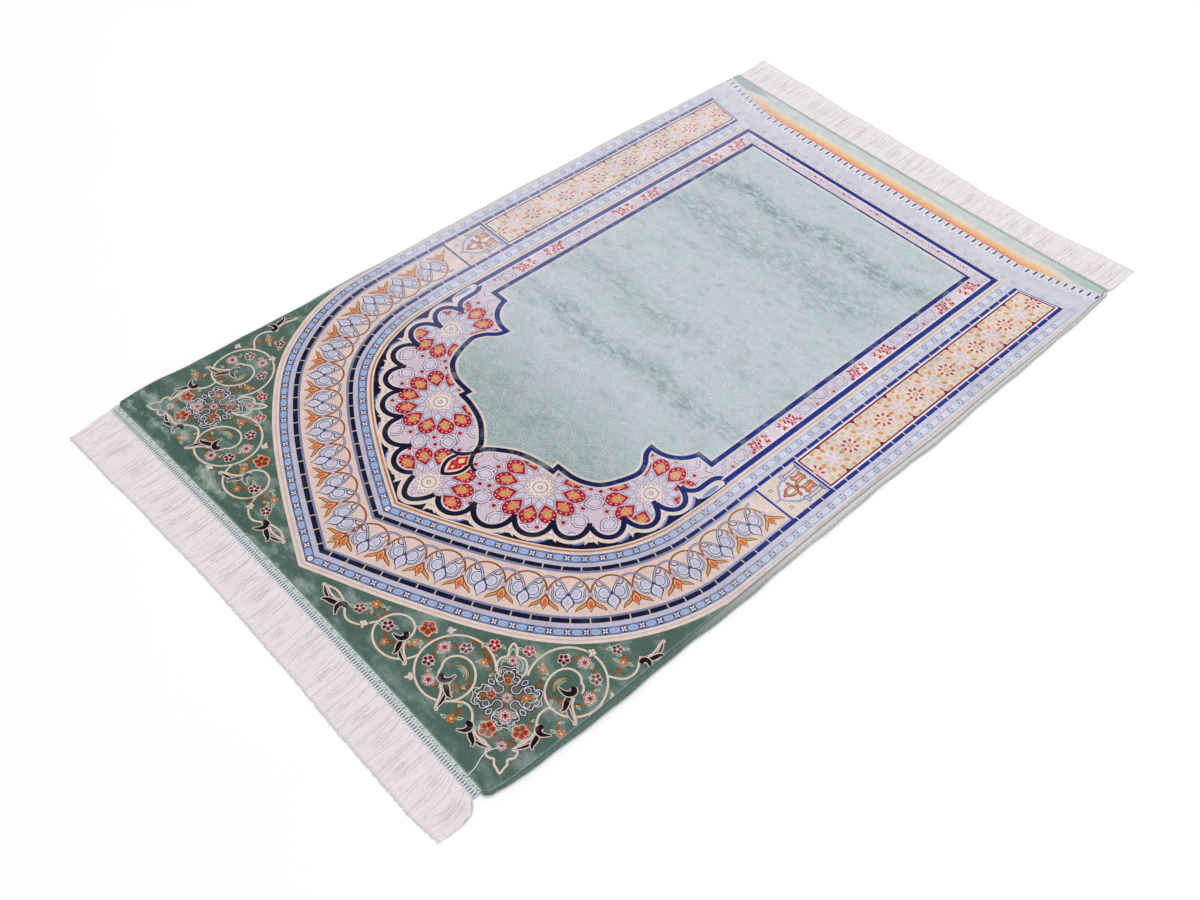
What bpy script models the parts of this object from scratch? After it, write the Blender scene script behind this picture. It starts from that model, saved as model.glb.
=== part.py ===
"""Prayer rug lying flat: a pile cloth, an overcast binding along each long side, and a fringe at each end.

Metres, +Z up. +Y points to the arch end of the rug, +X across it, and the origin is at the centre of the floor
that the rug covers. The outline is the slightly uneven one of a rug laid by hand.
"""

import math

import bmesh
import bpy
from mathutils import Vector

# Driving dimensions
PILE_THICKNESS = 0.006
RIM_ROUND = 0.0012
RIM_ROUND_STEPS = 2
CORNER_CUT = 0.005
BINDING_DIAMETER = 0.0042
SEAM_GAP = 0.0003
HEADING_WIDTH = 0.0125
HEADING_HEIGHT = 0.0026
STRANDS_PER_FRINGE = 130
STRAND_SHARE_OF_PITCH = 0.72
STRAND_STEPS = 3
STRAND_ROOT_HEIGHT = 0.0020
STRAND_TIP_HEIGHT = 0.0010
SIDE_POINTS = 58
END_POINTS = 30
BINDING_SIDES_SETTING = 2

# The two long sides, over the bindings: where each lies at stations along the rug
SIDE_COLUMNS = ("along", "left", "right")
SIDE_STATIONS = (
    (0.600, -0.3925, 0.3965),
    (0.575, -0.3965, 0.3980),
    (0.540, -0.3985, 0.3985),
    (0.480, -0.3990, 0.3945),
    (0.300, -0.3990, 0.3940),
    (0.180, -0.3995, 0.3965),
    (0.000, -0.3975, 0.3980),
    (-0.110, -0.3990, 0.4000),
    (-0.170, -0.4005, 0.3985),
    (-0.300, -0.3990, 0.4000),
    (-0.420, -0.3990, 0.3985),
    (-0.500, -0.3985, 0.3970),
    (-0.560, -0.3960, 0.3950),
    (-0.600, -0.3915, 0.3955),
    (-0.640, -0.3880, 0.3970),
)

# The ends of the pile cloth: a line with a bow and a skew
END_HALF_WIDTH = 0.390
ARCH_END_MIDDLE = 0.5955
ARCH_END_BOW = 0.0050
ARCH_END_SKEW = 0.0005
FOOT_END_MIDDLE = -0.6088
FOOT_END_BOW = -0.0060
FOOT_END_SKEW = -0.0174

# The free ends of the strands, at stations across the rug
TIP_COLUMNS = ("across", "along", "lean")
ARCH_TIPS = (
    (-0.390, 0.6690, -0.0120),
    (-0.340, 0.6740, -0.0070),
    (-0.240, 0.6725, -0.0020),
    (-0.100, 0.6690, -0.0060),
    (0.050, 0.6680, -0.0030),
    (0.200, 0.6720, 0.0020),
    (0.300, 0.6765, -0.0030),
    (0.390, 0.6785, -0.0080),
)
FOOT_TIPS = (
    (-0.390, -0.6730, 0.0035),
    (-0.340, -0.6715, 0.0010),
    (-0.240, -0.6650, -0.0030),
    (-0.150, -0.6695, 0.0020),
    (0.000, -0.6815, 0.0040),
    (0.150, -0.6905, 0.0010),
    (0.300, -0.7030, 0.0030),
    (0.390, -0.7090, 0.0065),
)
STRAND_SWAY = 0.0022
STRAND_SWAYS_ACROSS = 7.0

# Colours: red, green, blue, then roughness
PILE_LOOK = (0.52, 0.61, 0.66, 0.75)
BINDING_LOOK = (0.55, 0.62, 0.58, 0.85)
FRINGE_LOOK = (0.83, 0.78, 0.77, 0.80)


def smooth_between(stations, place, column):
    """The column's value at a place, on a smooth curve through the stations, which may rise or fall."""
    rows = sorted(stations)
    place = min(max(place, rows[0][0]), rows[-1][0])
    index = max(i for i in range(len(rows) - 1) if rows[i][0] <= place)
    low = rows[index]
    high = rows[index + 1]
    share = (place - low[0]) / (high[0] - low[0])
    eased = share * share * (3.0 - 2.0 * share)
    return low[column] + (high[column] - low[column]) * eased


def side_at(side, along):
    """Where the rug ends on its long side, over the binding. The side is -1 on the left and 1 on the right."""
    column = SIDE_COLUMNS.index("left" if side < 0 else "right")
    return smooth_between(SIDE_STATIONS, along, column)


def end_at(end, across):
    """Where the pile cloth ends. The end is 1 at the arch and -1 at the foot."""
    share = across / END_HALF_WIDTH
    if end > 0:
        return ARCH_END_MIDDLE + ARCH_END_BOW * share**2 + ARCH_END_SKEW * share
    return FOOT_END_MIDDLE + FOOT_END_BOW * share**2 + FOOT_END_SKEW * share


def cloth_side_at(side, along):
    return side_at(side, along) - side * (BINDING_DIAMETER + SEAM_GAP)


def side_points(side, inset, reach):
    """Points down a long side from the arch end to the foot end, stopping short of both by the reach."""
    top = end_at(1, side_at(side, ARCH_END_MIDDLE)) - reach
    bottom = end_at(-1, side_at(side, FOOT_END_MIDDLE)) + reach
    points = []
    for step in range(SIDE_POINTS + 1):
        along = top + (bottom - top) * step / SIDE_POINTS
        points.append(Vector((side_at(side, along) - side * inset, along, 0.0)))
    return points


def end_points(end):
    """Points of one end of the cloth, from left to right, between the two corner cuts."""
    middle = ARCH_END_MIDDLE if end > 0 else FOOT_END_MIDDLE
    left = cloth_side_at(-1, middle) + CORNER_CUT
    right = cloth_side_at(1, middle) - CORNER_CUT
    points = []
    for step in range(END_POINTS + 1):
        across = left + (right - left) * step / END_POINTS
        points.append(Vector((across, end_at(end, across), 0.0)))
    return points


def fabric(name, look):
    material = bpy.data.materials.new(name)
    material.use_nodes = True
    shader = material.node_tree.nodes["Principled BSDF"]
    shader.inputs["Base Color"].default_value = (*look[:3], 1.0)
    shader.inputs["Roughness"].default_value = look[3]
    shader.inputs["Metallic"].default_value = 0.0
    material.diffuse_color = (*look[:3], 1.0)
    return material


def add_object(name, data, material, collection):
    made = bpy.data.objects.new(name, data)
    made.data.materials.append(material)
    collection.objects.link(made)
    return made


def thicken(made, height):
    """Grows a flat mesh upwards from the floor."""
    solidify = made.modifiers.new("thickness", "SOLIDIFY")
    solidify.thickness = height
    solidify.offset = 1.0
    return solidify


def pile_cloth(material, collection):
    """The woven cloth with its pile: one flat sheet with the laid outline and a softly rounded rim."""
    inset = BINDING_DIAMETER + SEAM_GAP
    outline = end_points(1)
    outline += side_points(1, inset, CORNER_CUT)
    outline += reversed(end_points(-1))
    outline += reversed(side_points(-1, inset, CORNER_CUT))
    shape = bmesh.new()
    face = shape.faces.new([shape.verts.new(point) for point in reversed(outline)])
    face.normal_update()
    mesh = bpy.data.meshes.new("pile_cloth")
    shape.to_mesh(mesh)
    shape.free()
    made = add_object("pile_cloth", mesh, material, collection)
    thicken(made, PILE_THICKNESS)
    rim = made.modifiers.new("rim", "BEVEL")
    rim.width = RIM_ROUND
    rim.segments = RIM_ROUND_STEPS
    rim.limit_method = "ANGLE"
    rim.angle_limit = math.radians(60.0)
    return made


def side_binding(name, side, material, collection):
    """The overcast edge: a firm round of yarn laid along the cloth's long side, on the floor."""
    radius = BINDING_DIAMETER / 2
    curve = bpy.data.curves.new(name, "CURVE")
    curve.dimensions = "3D"
    curve.bevel_depth = radius
    curve.bevel_resolution = BINDING_SIDES_SETTING
    curve.use_fill_caps = True
    points = side_points(side, radius, CORNER_CUT)
    spline = curve.splines.new("POLY")
    spline.points.add(len(points) - 1)
    for slot, point in zip(spline.points, points):
        slot.co = (point.x, point.y, radius, 1.0)
    return add_object(name, curve, material, collection)


def strand_path(end, tips, root_across, root_along):
    """Centre points of a strand lying on the floor, which sways a little on its way out."""
    tip_along = smooth_between(tips, root_across, TIP_COLUMNS.index("along"))
    lean = smooth_between(tips, root_across, TIP_COLUMNS.index("lean"))
    sway = STRAND_SWAY * math.sin(STRAND_SWAYS_ACROSS * math.pi * root_across / END_HALF_WIDTH + end)
    path = []
    for step in range(STRAND_STEPS + 1):
        share = step / STRAND_STEPS
        across = root_across + lean * share**2 + sway * math.sin(math.pi * share)
        path.append(Vector((across, root_along + (tip_along - root_along) * share, 0.0)))
    return path


def fringe(name, end, tips, material, collection):
    """A narrow woven heading with strands fused to its outer edge, drawn flat and then thickened from the floor."""
    middle = ARCH_END_MIDDLE if end > 0 else FOOT_END_MIDDLE
    left = side_at(-1, middle) + CORNER_CUT
    right = side_at(1, middle) - CORNER_CUT
    pitch = (right - left) / STRANDS_PER_FRINGE
    half_strand = pitch * STRAND_SHARE_OF_PITCH / 2
    shape = bmesh.new()
    weight = shape.verts.layers.deform.verify()

    def vertex(point, height):
        made = shape.verts.new(point)
        made[weight][0] = height / HEADING_HEIGHT
        return made

    def heading_pair(across):
        inner = end_at(end, across) + end * SEAM_GAP
        outer = inner + end * HEADING_WIDTH
        pair = (
            vertex(Vector((across, inner, 0.0)), HEADING_HEIGHT),
            vertex(Vector((across, outer, 0.0)), STRAND_ROOT_HEIGHT),
        )
        return pair

    def quad(corners):
        ordered = corners if end > 0 else list(reversed(corners))
        shape.faces.new(ordered)

    last = heading_pair(left)
    for number in range(STRANDS_PER_FRINGE):
        centre = left + pitch * (number + 0.5)
        first = heading_pair(centre - half_strand)
        second = heading_pair(centre + half_strand)
        quad([last[0], first[0], first[1], last[1]])
        quad([first[0], second[0], second[1], first[1]])
        root_along = (first[1].co.y + second[1].co.y) / 2
        path = strand_path(end, tips, centre, root_along)
        low = first[1]
        high = second[1]
        for step in range(1, STRAND_STEPS + 1):
            share = step / STRAND_STEPS
            height = STRAND_ROOT_HEIGHT + (STRAND_TIP_HEIGHT - STRAND_ROOT_HEIGHT) * share
            half = Vector((half_strand * (1.0 - 0.25 * share), 0.0, 0.0))
            next_low = vertex(path[step] - half, height)
            next_high = vertex(path[step] + half, height)
            quad([low, high, next_high, next_low])
            low = next_low
            high = next_high
        last = second
    closing = heading_pair(right)
    quad([last[0], closing[0], closing[1], last[1]])

    mesh = bpy.data.meshes.new(name)
    shape.to_mesh(mesh)
    shape.free()
    made = add_object(name, mesh, material, collection)
    made.vertex_groups.new(name="height")
    solidify = thicken(made, HEADING_HEIGHT)
    solidify.vertex_group = "height"
    return made


def centre_on_floor(objects):
    """Moves all the pieces together, so that the middle of the floor they cover is the origin."""
    bpy.context.view_layer.update()
    graph = bpy.context.evaluated_depsgraph_get()
    corners = []
    for made in objects:
        evaluated = made.evaluated_get(graph)
        mesh = evaluated.to_mesh()
        corners += [evaluated.matrix_world @ vertex.co for vertex in mesh.vertices]
        evaluated.to_mesh_clear()
    low = Vector([min(corner[axis] for corner in corners) for axis in range(3)])
    high = Vector([max(corner[axis] for corner in corners) for axis in range(3)])
    shift = Vector(((low.x + high.x) / 2, (low.y + high.y) / 2, low.z))
    for made in objects:
        made.location = -shift


def main():
    for old in list(bpy.data.objects):
        bpy.data.objects.remove(old, do_unlink=True)
    collection = bpy.data.collections.new("prayer_rug")
    bpy.context.scene.collection.children.link(collection)
    pile = fabric("pile", PILE_LOOK)
    binding = fabric("binding", BINDING_LOOK)
    yarn = fabric("fringe", FRINGE_LOOK)
    pieces = [
        pile_cloth(pile, collection),
        side_binding("side_binding_left", -1, binding, collection),
        side_binding("side_binding_right", 1, binding, collection),
        fringe("arch_fringe", 1, ARCH_TIPS, yarn, collection),
        fringe("foot_fringe", -1, FOOT_TIPS, yarn, collection),
    ]
    centre_on_floor(pieces)


main()
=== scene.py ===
"""Looks of a prayer rug that lies flat: patterned pile, foundation, overcast sides and two yarn fringes.

The frame is in metres. The pattern is drawn in millimetres on a design plane, where x runs across the rug
from its centre line and y runs along it towards the arch, and lie() takes it to the rug as it was laid.
Dyed shapes are painted one over another, and then cut into one mesh whose faces each hold one dye.
"""

import math

import bpy
import numpy as np
from mathutils import Matrix, Vector
from mathutils.geometry import delaunay_2d_cdt


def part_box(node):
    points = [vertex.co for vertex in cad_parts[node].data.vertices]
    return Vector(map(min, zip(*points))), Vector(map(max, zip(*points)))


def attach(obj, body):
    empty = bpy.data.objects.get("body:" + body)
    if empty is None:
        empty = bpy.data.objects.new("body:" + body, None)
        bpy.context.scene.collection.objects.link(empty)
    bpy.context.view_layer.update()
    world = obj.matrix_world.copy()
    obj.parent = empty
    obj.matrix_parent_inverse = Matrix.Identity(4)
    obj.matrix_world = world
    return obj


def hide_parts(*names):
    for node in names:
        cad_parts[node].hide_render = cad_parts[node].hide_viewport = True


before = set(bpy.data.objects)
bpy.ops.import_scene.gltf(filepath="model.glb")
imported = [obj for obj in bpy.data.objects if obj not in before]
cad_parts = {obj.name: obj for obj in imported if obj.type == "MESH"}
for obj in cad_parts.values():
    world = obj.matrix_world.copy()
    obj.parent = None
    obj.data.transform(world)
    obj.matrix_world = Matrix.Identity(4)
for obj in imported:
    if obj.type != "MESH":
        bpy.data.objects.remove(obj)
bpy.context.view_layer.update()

# ---------------------------------------------------------------- sizes, in mm unless the name says otherwise
LAID_ORIGIN = (0.25, 15.24)         # where the design's origin lies in the frame
PILE_TOP = 6.0
FOUNDATION, FOUNDATION_INSET = 1.6, 0.8
RIM = 1.2
GRID = 9.0                          # spacing of the points that let the cloth wave
STRAIGHT = 0.015                    # how far from straight a run of edges may be and still become one
BINDING_HEIGHT = 2.3
# Half the width of the overcast edge on each side, along the rug
BINDING_HALF = {-1: [(-600, 1.5), (-450, 2.2), (-250, 3.4), (-60, 4.5), (260, 4.5), (480, 4.0), (540, 3.4),
                     (580, 2.6), (604, 1.9)],
                1: [(-620, 1.4), (-560, 2.4), (300, 3.1), (560, 3.0), (595, 2.2), (612, 1.4)]}
SEAM = 0.3
HEADING = {1: 12.5, -1: 5.2}         # how far the stitched heading reaches at each end

# The outer navy stripe's middle on one half, from the apex to where the long side runs straight
ARCH = [(0, 542.3), (109.6, 494.6), (210.6, 441.6), (287.5, 383.0), (335.6, 313.6), (360.8, 236.6),
        (365.6, 150.0)]
SIDE, SIDE_END = 365.6, -560.0      # the same stripe's middle down the long side, and where it ends
NARROWING = 0.95                    # the bands are a little narrower down the long sides than round the arch
NAVY_HALF = 3.3
OUTER_END, INNER_END = -590.0, -507.5                # where the outer and the inner bands end at the foot
PANEL_BANDS_TO = 78.0               # the bands from the outer navy stripe to here end with the side panels
PAST_SIDE, PAST_FOOT, PAST_ARCH = 450, -760, 660      # places beyond the cloth

# Bands, by how far inside the middle of that stripe each begins
BANDS = [(-31.0, "cream"), (-27.0, "rose"), (-25.2, "cream"), (-21.6, "guard_edge"), (-20.0, "guard"),
         (-11.6, "guard_edge"), (-10.2, "lilac"), (-3.3, "navy"), (3.3, "lilac_line"), (6.4, "peach"),
         (69.0, "lilac_line"), (72.6, "navy"), (78.4, "lilac"), (84.6, "guard_edge"), (86.0, "guard"),
         (95.6, "guard_edge"), (97.0, "pale_line"), (100.8, "gold_line"), (103.4, "pale_line"),
         (105.8, "spandrel")]
LAST_BAND = 105.8

FIELD_HALF, FIELD_FOOT = 226.5, -477.3      # the field's straight sides and its end
FIELD_RIM = 7.0                     # how far the cream line reaches round the field
BLUE_HALF, BLUE_FOOT = 259.4, -502.0        # the middle of the blue stripe at the side and at the foot
BLUE_REACH, BLUE_TOP = 6.6, 94.0            # how far its pale line reaches out, and where it starts

# How the rug lies: the slope of its cross lines, and the bow of its long lines, at places along it
LEAN = [(-640, 0.0495), (-512, 0.042), (-480, 0.0415), (0, 0.0267), (78, 0.0243), (300, 0.004), (600, 0.0)]
BOW = [(120, 5.8), (200, 4.7), (240, 3.7), (300, 2.0), (390, 0.0), (450, -5.0)]
MIDDLE = -5.0                       # where the pattern's centre line lies across the rug

# Where the yarns of each fringe end and how far they lean, at stations across the rug, in metres
TIP_COLUMNS = ("across", "along", "lean")
ARCH_TIPS = [(-0.390, 0.6700, 0.0), (-0.340, 0.6740, -0.0030), (-0.240, 0.6725, -0.0020),
             (-0.100, 0.6690, -0.0060), (0.050, 0.6680, -0.0030), (0.200, 0.6720, 0.0020),
             (0.300, 0.6765, -0.0030), (0.390, 0.6785, -0.0080)]
FOOT_TIPS = [(-0.390, -0.6730, 0.0035), (-0.340, -0.6715, 0.0010), (-0.240, -0.6650, -0.0030),
             (-0.150, -0.6695, 0.0020), (0.000, -0.6815, 0.0040), (0.150, -0.6905, 0.0010),
             (0.300, -0.7030, 0.0030), (0.390, -0.7090, 0.0065)]

# Dyes, red green blue out of 255: at the arch, and at the foot, where a painted sheen makes the pile look
# paler
DYES = {
    "green": ((80, 103, 93), (186, 201, 196)), "cream": ((222, 202, 190), (216, 208, 206)),
    "rose": ((196, 172, 174), (206, 198, 204)), "guard_edge": ((80, 90, 134), (176, 180, 204)),
    "guard": ((118, 134, 176), (198, 203, 218)), "lilac": ((186, 180, 197), (202, 199, 213)),
    "navy": ((17, 18, 46), (42, 52, 130)), "lilac_line": ((124, 127, 160), (176, 178, 204)),
    "peach": ((219, 193, 183), (222, 204, 195)), "pale_line": ((220, 200, 194), (216, 208, 210)),
    "gold_line": ((180, 120, 70), (206, 178, 146)), "spandrel": ((16, 16, 36), (32, 40, 96)),
    "flower_ring": ((44, 50, 84), (132, 138, 170)), "white": ((230, 220, 222), (230, 227, 231)),
    "flower_heart": ((206, 146, 110), (196, 176, 186)), "guard_pale": ((164, 180, 210), (212, 216, 226)),
    "tick": ((206, 180, 150), (208, 202, 206)), "stem": ((150, 84, 40), (176, 110, 72)),
    "bark": ((126, 66, 32), (166, 116, 76)), "flame_leaf": ((206, 152, 98), (214, 168, 120)),
    "palm_shade": ((124, 128, 168), (140, 144, 178)), "palm": ((196, 187, 204), (204, 198, 213)),
    "palm_line": ((50, 56, 86), (88, 92, 132)), "palm_glow": ((205, 203, 219), (212, 209, 222)),
    "flame_pale": ((226, 184, 146), (226, 190, 156)), "flame": ((212, 96, 44), (218, 118, 72)),
    "node_pink": ((212, 168, 182), (214, 178, 186)), "arcade": ((206, 187, 198), (212, 200, 210)),
    "hex_line": ((98, 82, 122), (142, 130, 166)), "hex_edge": ((218, 204, 212), (218, 210, 220)),
    "hex": ((206, 194, 204), (210, 202, 212)), "strap": ((226, 206, 212), (226, 213, 220)),
    "strap_line": ((118, 86, 116), (164, 142, 168)), "diamond": ((150, 26, 56), (182, 70, 90)),
    "kite_rim": ((164, 10, 36), (188, 44, 62)), "kite": ((206, 84, 86), (214, 122, 128)),
    "kite_line": ((110, 18, 40), (158, 66, 80)), "kite_heart": ((214, 144, 92), (222, 166, 128)),
    "kite_seed": ((176, 164, 90), (198, 182, 126)), "kite_dot": ((234, 168, 172), (232, 190, 194)),
    "kite_blue": ((182, 194, 222), (196, 204, 226)), "star": ((226, 210, 202), (224, 212, 212)),
    "star_line": ((142, 124, 124), (168, 150, 154)), "star_dot": ((140, 122, 100), (166, 146, 130)),
    "field": ((154, 166, 166), (190, 199, 205)), "field_line": ((130, 148, 144), (178, 189, 193)),
    "field_glow": ((184, 193, 196), (203, 210, 215)), "field_leaf": ((164, 178, 168), (192, 201, 204)),
    "spandrel_blue": ((112, 124, 184), (140, 156, 206)), "fleuron": ((196, 168, 150), (204, 184, 176)),
    "red": ((186, 26, 40), (192, 56, 66)), "gold_spot": ((228, 184, 110), (228, 186, 116)),
    "orange": ((220, 110, 50), (224, 136, 88)), "foot_gold": ((230, 184, 130), (230, 186, 134)),
    "foot_amber": ((230, 200, 162), (230, 202, 166)), "foot_peach": ((224, 208, 198), (222, 207, 200)),
    "foot_green": ((200, 207, 204), (199, 206, 204)), "foot_blush": ((216, 204, 206), (214, 204, 207)),
    "tick_navy": ((35, 40, 78), (44, 52, 98)), "foot_ring": ((168, 162, 190), (172, 168, 194)),
    "panel": ((220, 200, 188), (222, 206, 196)), "arch_line": ((110, 108, 146), (122, 120, 156)),
    "arch_pale": ((196, 196, 214), (198, 198, 216)), "brown": ((140, 84, 66), (154, 100, 82)),
    "lily": ((196, 126, 92), (200, 134, 100)), "lily_line": ((146, 80, 54), (150, 86, 60)),
    "maroon_line": ((122, 22, 46), (130, 30, 54)), "panel_rose": ((222, 212, 214), (222, 213, 217)),
    "amber": ((216, 142, 80), (220, 150, 94)), "apricot": ((228, 178, 150), (228, 184, 160)),
    "sage": ((190, 188, 146), (194, 193, 158)), "pink": ((222, 186, 184), (222, 186, 186)),
    "maroon": ((112, 18, 40), (140, 54, 74)), "crimson": ((168, 18, 40), (190, 56, 70)),
}
# Those that take no painted sheen and look the same at both ends
STEADY_DYES = {
    "foot_pale": (206, 204, 213), "foot_red": (218, 118, 108), "foot_orange": (230, 164, 122),
    "foot_blue": (192, 202, 220), "flower_red": (112, 24, 24), "flower_orange": (158, 40, 34),
    "flower_amber": (206, 118, 66), "stem_dark": (84, 52, 30), "foot_deep": (156, 171, 166),
    "foot_hem": (192, 202, 200), "foot_dash": (120, 128, 134), "foot_moss": (180, 193, 188),
    "flower_gold": (198, 134, 78), "flower_rim": (224, 194, 188), "flower_dark": (112, 62, 66),
    "leaf_pale": (178, 192, 170), "leaf_green": (92, 126, 98), "cloud_dark": (50, 46, 58),
    "cloud_pale": (218, 210, 214), "cloud_ground": (98, 106, 94), "scroll_shade": (128, 108, 84),
    "leaf_dark": (34, 12, 26),
}
DYES.update({name: (dye, dye) for name, dye in STEADY_DYES.items()})
# Painted sheen: towards the foot the dyes turn paler, between these two places along the rug
SHEEN_FROM, SHEEN_TO = 330.0, 60.0    # along the rug, where the dyes turn from the first to the second


# ---------------------------------------------------------------- lines and shapes
def unit(v):
    return v / np.maximum(np.linalg.norm(v, axis=-1, keepdims=True), 1e-9)


def left_of(v):
    return np.stack([-v[..., 1], v[..., 0]], -1)


def tangents(line):
    return unit(np.gradient(line, axis=0))


def lengths(line):
    """How far along a line each of its points lies."""
    return np.concatenate([[0], np.cumsum(np.linalg.norm(np.diff(line, axis=0), axis=1))])


def at_length(line, run, s):
    return np.stack([np.interp(s, run, line[:, i]) for i in (0, 1)], -1)


def resample(line, step):
    line = np.asarray(line, float)
    run = lengths(line)
    count = max(2, int(round(run[-1] / step)) + 1)
    return at_length(line, run, np.linspace(0, run[-1], count))


def smooth(points, step=3.0, closed=False):
    """A Catmull-Rom line through the points."""
    p = np.asarray(points, float)
    ends = (p[-1:], p[:2]) if closed else (2 * p[:1] - p[1:2], 2 * p[-1:] - p[-2:-1])
    q = np.vstack([ends[0], p, ends[1]])
    out = []
    for i in range(1, len(q) - 2):
        a, b, c, d = q[i - 1:i + 3]
        count = max(2, int(np.linalg.norm(c - b) / step * 1.5))
        t = np.linspace(0, 1, count, endpoint=False)[:, None]
        bend = (2 * a - 5 * b + 4 * c - d) * t**2 + (3 * b - a - 3 * c + d) * t**3
        out.append(0.5 * (2 * b + (c - a) * t + bend))
    return np.vstack(out if closed else out + [q[-2][None]])


def arc(x, y, radius, first, last, step=12.0):
    count = max(3, int(abs(last - first) / step) + 1)
    a = np.radians(np.linspace(first, last, count))
    return np.stack([x + radius * np.cos(a), y + radius * np.sin(a)], 1)


def arc_through(a, b, c, step=4.0):
    """The circular arc from a to c by way of b."""
    (ax, ay), (bx, by), (cx, cy) = a, b, c
    d = 2 * (ax * (by - cy) + bx * (cy - ay) + cx * (ay - by))
    sa, sb, sc = ax * ax + ay * ay, bx * bx + by * by, cx * cx + cy * cy
    ux = (sa * (by - cy) + sb * (cy - ay) + sc * (ay - by)) / d
    uy = (sa * (cx - bx) + sb * (ax - cx) + sc * (bx - ax)) / d
    first, middle, last = (math.atan2(y - uy, x - ux) for x, y in (a, b, c))
    turn = (last - first) % (2 * math.pi)
    if (middle - first) % (2 * math.pi) > turn:
        turn -= 2 * math.pi
    radius = math.hypot(ax - ux, ay - uy)
    count = max(3, int(abs(turn) * radius / step) + 1)
    angles = first + turn * np.linspace(0, 1, count)
    return np.stack([ux + radius * np.cos(angles), uy + radius * np.sin(angles)], 1)


def oval(x, y, rx, ry=None, count=12, turn=0.0):
    a = math.radians(turn) + np.arange(count) * 2 * math.pi / count
    return np.stack([x + rx * np.cos(a), y + (rx if ry is None else ry) * np.sin(a)], 1)


def box(x0, y0, x1, y1):
    return np.array([(x0, y0), (x1, y0), (x1, y1), (x0, y1)], float)


def ribbon(line, width):
    """A closed outline round a line. The width is one number, or one for each point."""
    p = np.asarray(line, float)
    side = left_of(tangents(p)) * np.broadcast_to(np.asarray(width, float), (len(p),))[:, None] / 2
    return np.vstack([p + side, (p - side)[::-1]])


def leaf(line, widest, root=0.12, at=0.6):
    """A ribbon that swells from a thin root and thins again to its tip."""
    share = np.interp(np.linspace(0, 1, len(line)), [0, at, 1], [root, 1, root * 0.6])
    return ribbon(line, widest * np.sin(share * math.pi / 2))


def turned(points, angle, at=(0, 0), scale=1.0):
    c, s = math.cos(angle), math.sin(angle)
    return np.asarray(points, float) * scale @ np.array([(c, s), (-s, c)]) + at


def mirrored(half):
    """A closed outline from its right half, drawn from the top of the axis to its foot."""
    half = np.asarray(half, float)
    inner = half[1:-1] if abs(half[-1, 0]) < 1e-6 else half[1:]
    return np.vstack([half, inner[::-1] * (-1, 1)])


def both_halves(half):
    """A closed outline from its right half, which starts on the axis."""
    return np.vstack([half[::-1] * (-1, 1), half[1:]])


def sided(points, m):
    """The points of a right half, or with m at -1 those of the left."""
    return np.array(points, float) * (m, 1)


def lined(put, line, widths):
    """Stripes on one line, the widest first."""
    for width, dye in widths:
        put(ribbon(line, width), dye)


def nested(put, shape, middle, shares):
    """The shape at several shares of its size about its middle, the largest first."""
    for share, dye in shares:
        put((shape - middle) * share + middle, dye)


# ---------------------------------------------------------------- painting
painted = []                        # (outline, dye, name of the area that it stays in), first to last
areas = {}                          # those areas


def paint(points, dye, within=None):
    painted.append((np.asarray(points, float), dye, within))


def paint_both(points, dye, within=None):
    points = np.asarray(points, float)
    paint(points, dye, within)
    paint(points * (-1, 1), dye, within)


def table_at(place, rows):
    rows = np.array(rows, float)
    return np.interp(place, rows[:, 0], rows[:, 1])


def bow_at(x, y):
    return MIDDLE + table_at(y, BOW) * (np.minimum(np.abs(x), SIDE) / SIDE) ** 2


def lie(points):
    """From the design to the rug as it lies, in mm of the frame."""
    p = np.asarray(points, float)
    x = p[:, 0] + bow_at(p[:, 0], p[:, 1])
    return np.stack([x, p[:, 1] - table_at(p[:, 1], LEAN) * x], 1) + LAID_ORIGIN


# ---------------------------------------------------------------- the arch and its bands
def arch_line():
    line = np.vstack([smooth(ARCH), [(SIDE, 0.0), (SIDE, SIDE_END)]])
    line = resample(line, 3.0)
    back = line[0] - unit(line[2] - line[0]) * np.linspace(90, 1.5, 30)[:, None]
    return np.vstack([back, line])


ARCH_LINE = arch_line()
ARCH_OUT = left_of(tangents(ARCH_LINE))


def ease(t):
    t = np.clip(t, 0, 1)
    return t * t * (3 - 2 * t)


def band_line(inward):
    """One half of the line that runs that far inside the outer navy stripe, apex first."""
    share = NARROWING + (1 - NARROWING) * ease((ARCH_LINE[:, 1] - 120.0) / 160.0)
    depth = np.where(inward > 6.5, 6.5 + (inward - 6.5) * share, inward)
    line = ARCH_LINE - ARCH_OUT * depth[:, None]
    first = int(np.argmax(line[:, 0] > 0.5))
    a, b = line[first - 1], line[first]
    return np.vstack([a + (b - a) * (0 - a[0]) / (b[0] - a[0]), line[first:]])


def band_area(inward, low=SIDE_END):
    half = band_line(inward)
    half = half[half[:, 1] > low]
    half = np.vstack([half, [(half[-1, 0], low)]])
    return both_halves(half)


def band_ring(first, second, low):
    """The band between two offsets on one half. low(x) is where it ends."""
    sides = []
    for inward in (first, second):
        line = band_line(inward)
        line = line[line[:, 1] > low(line[:, 0])]
        sides.append(np.vstack([line, [(line[-1, 0], low(line[-1, 0]))]]))
    return np.vstack([sides[0], sides[1][::-1]])


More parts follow.
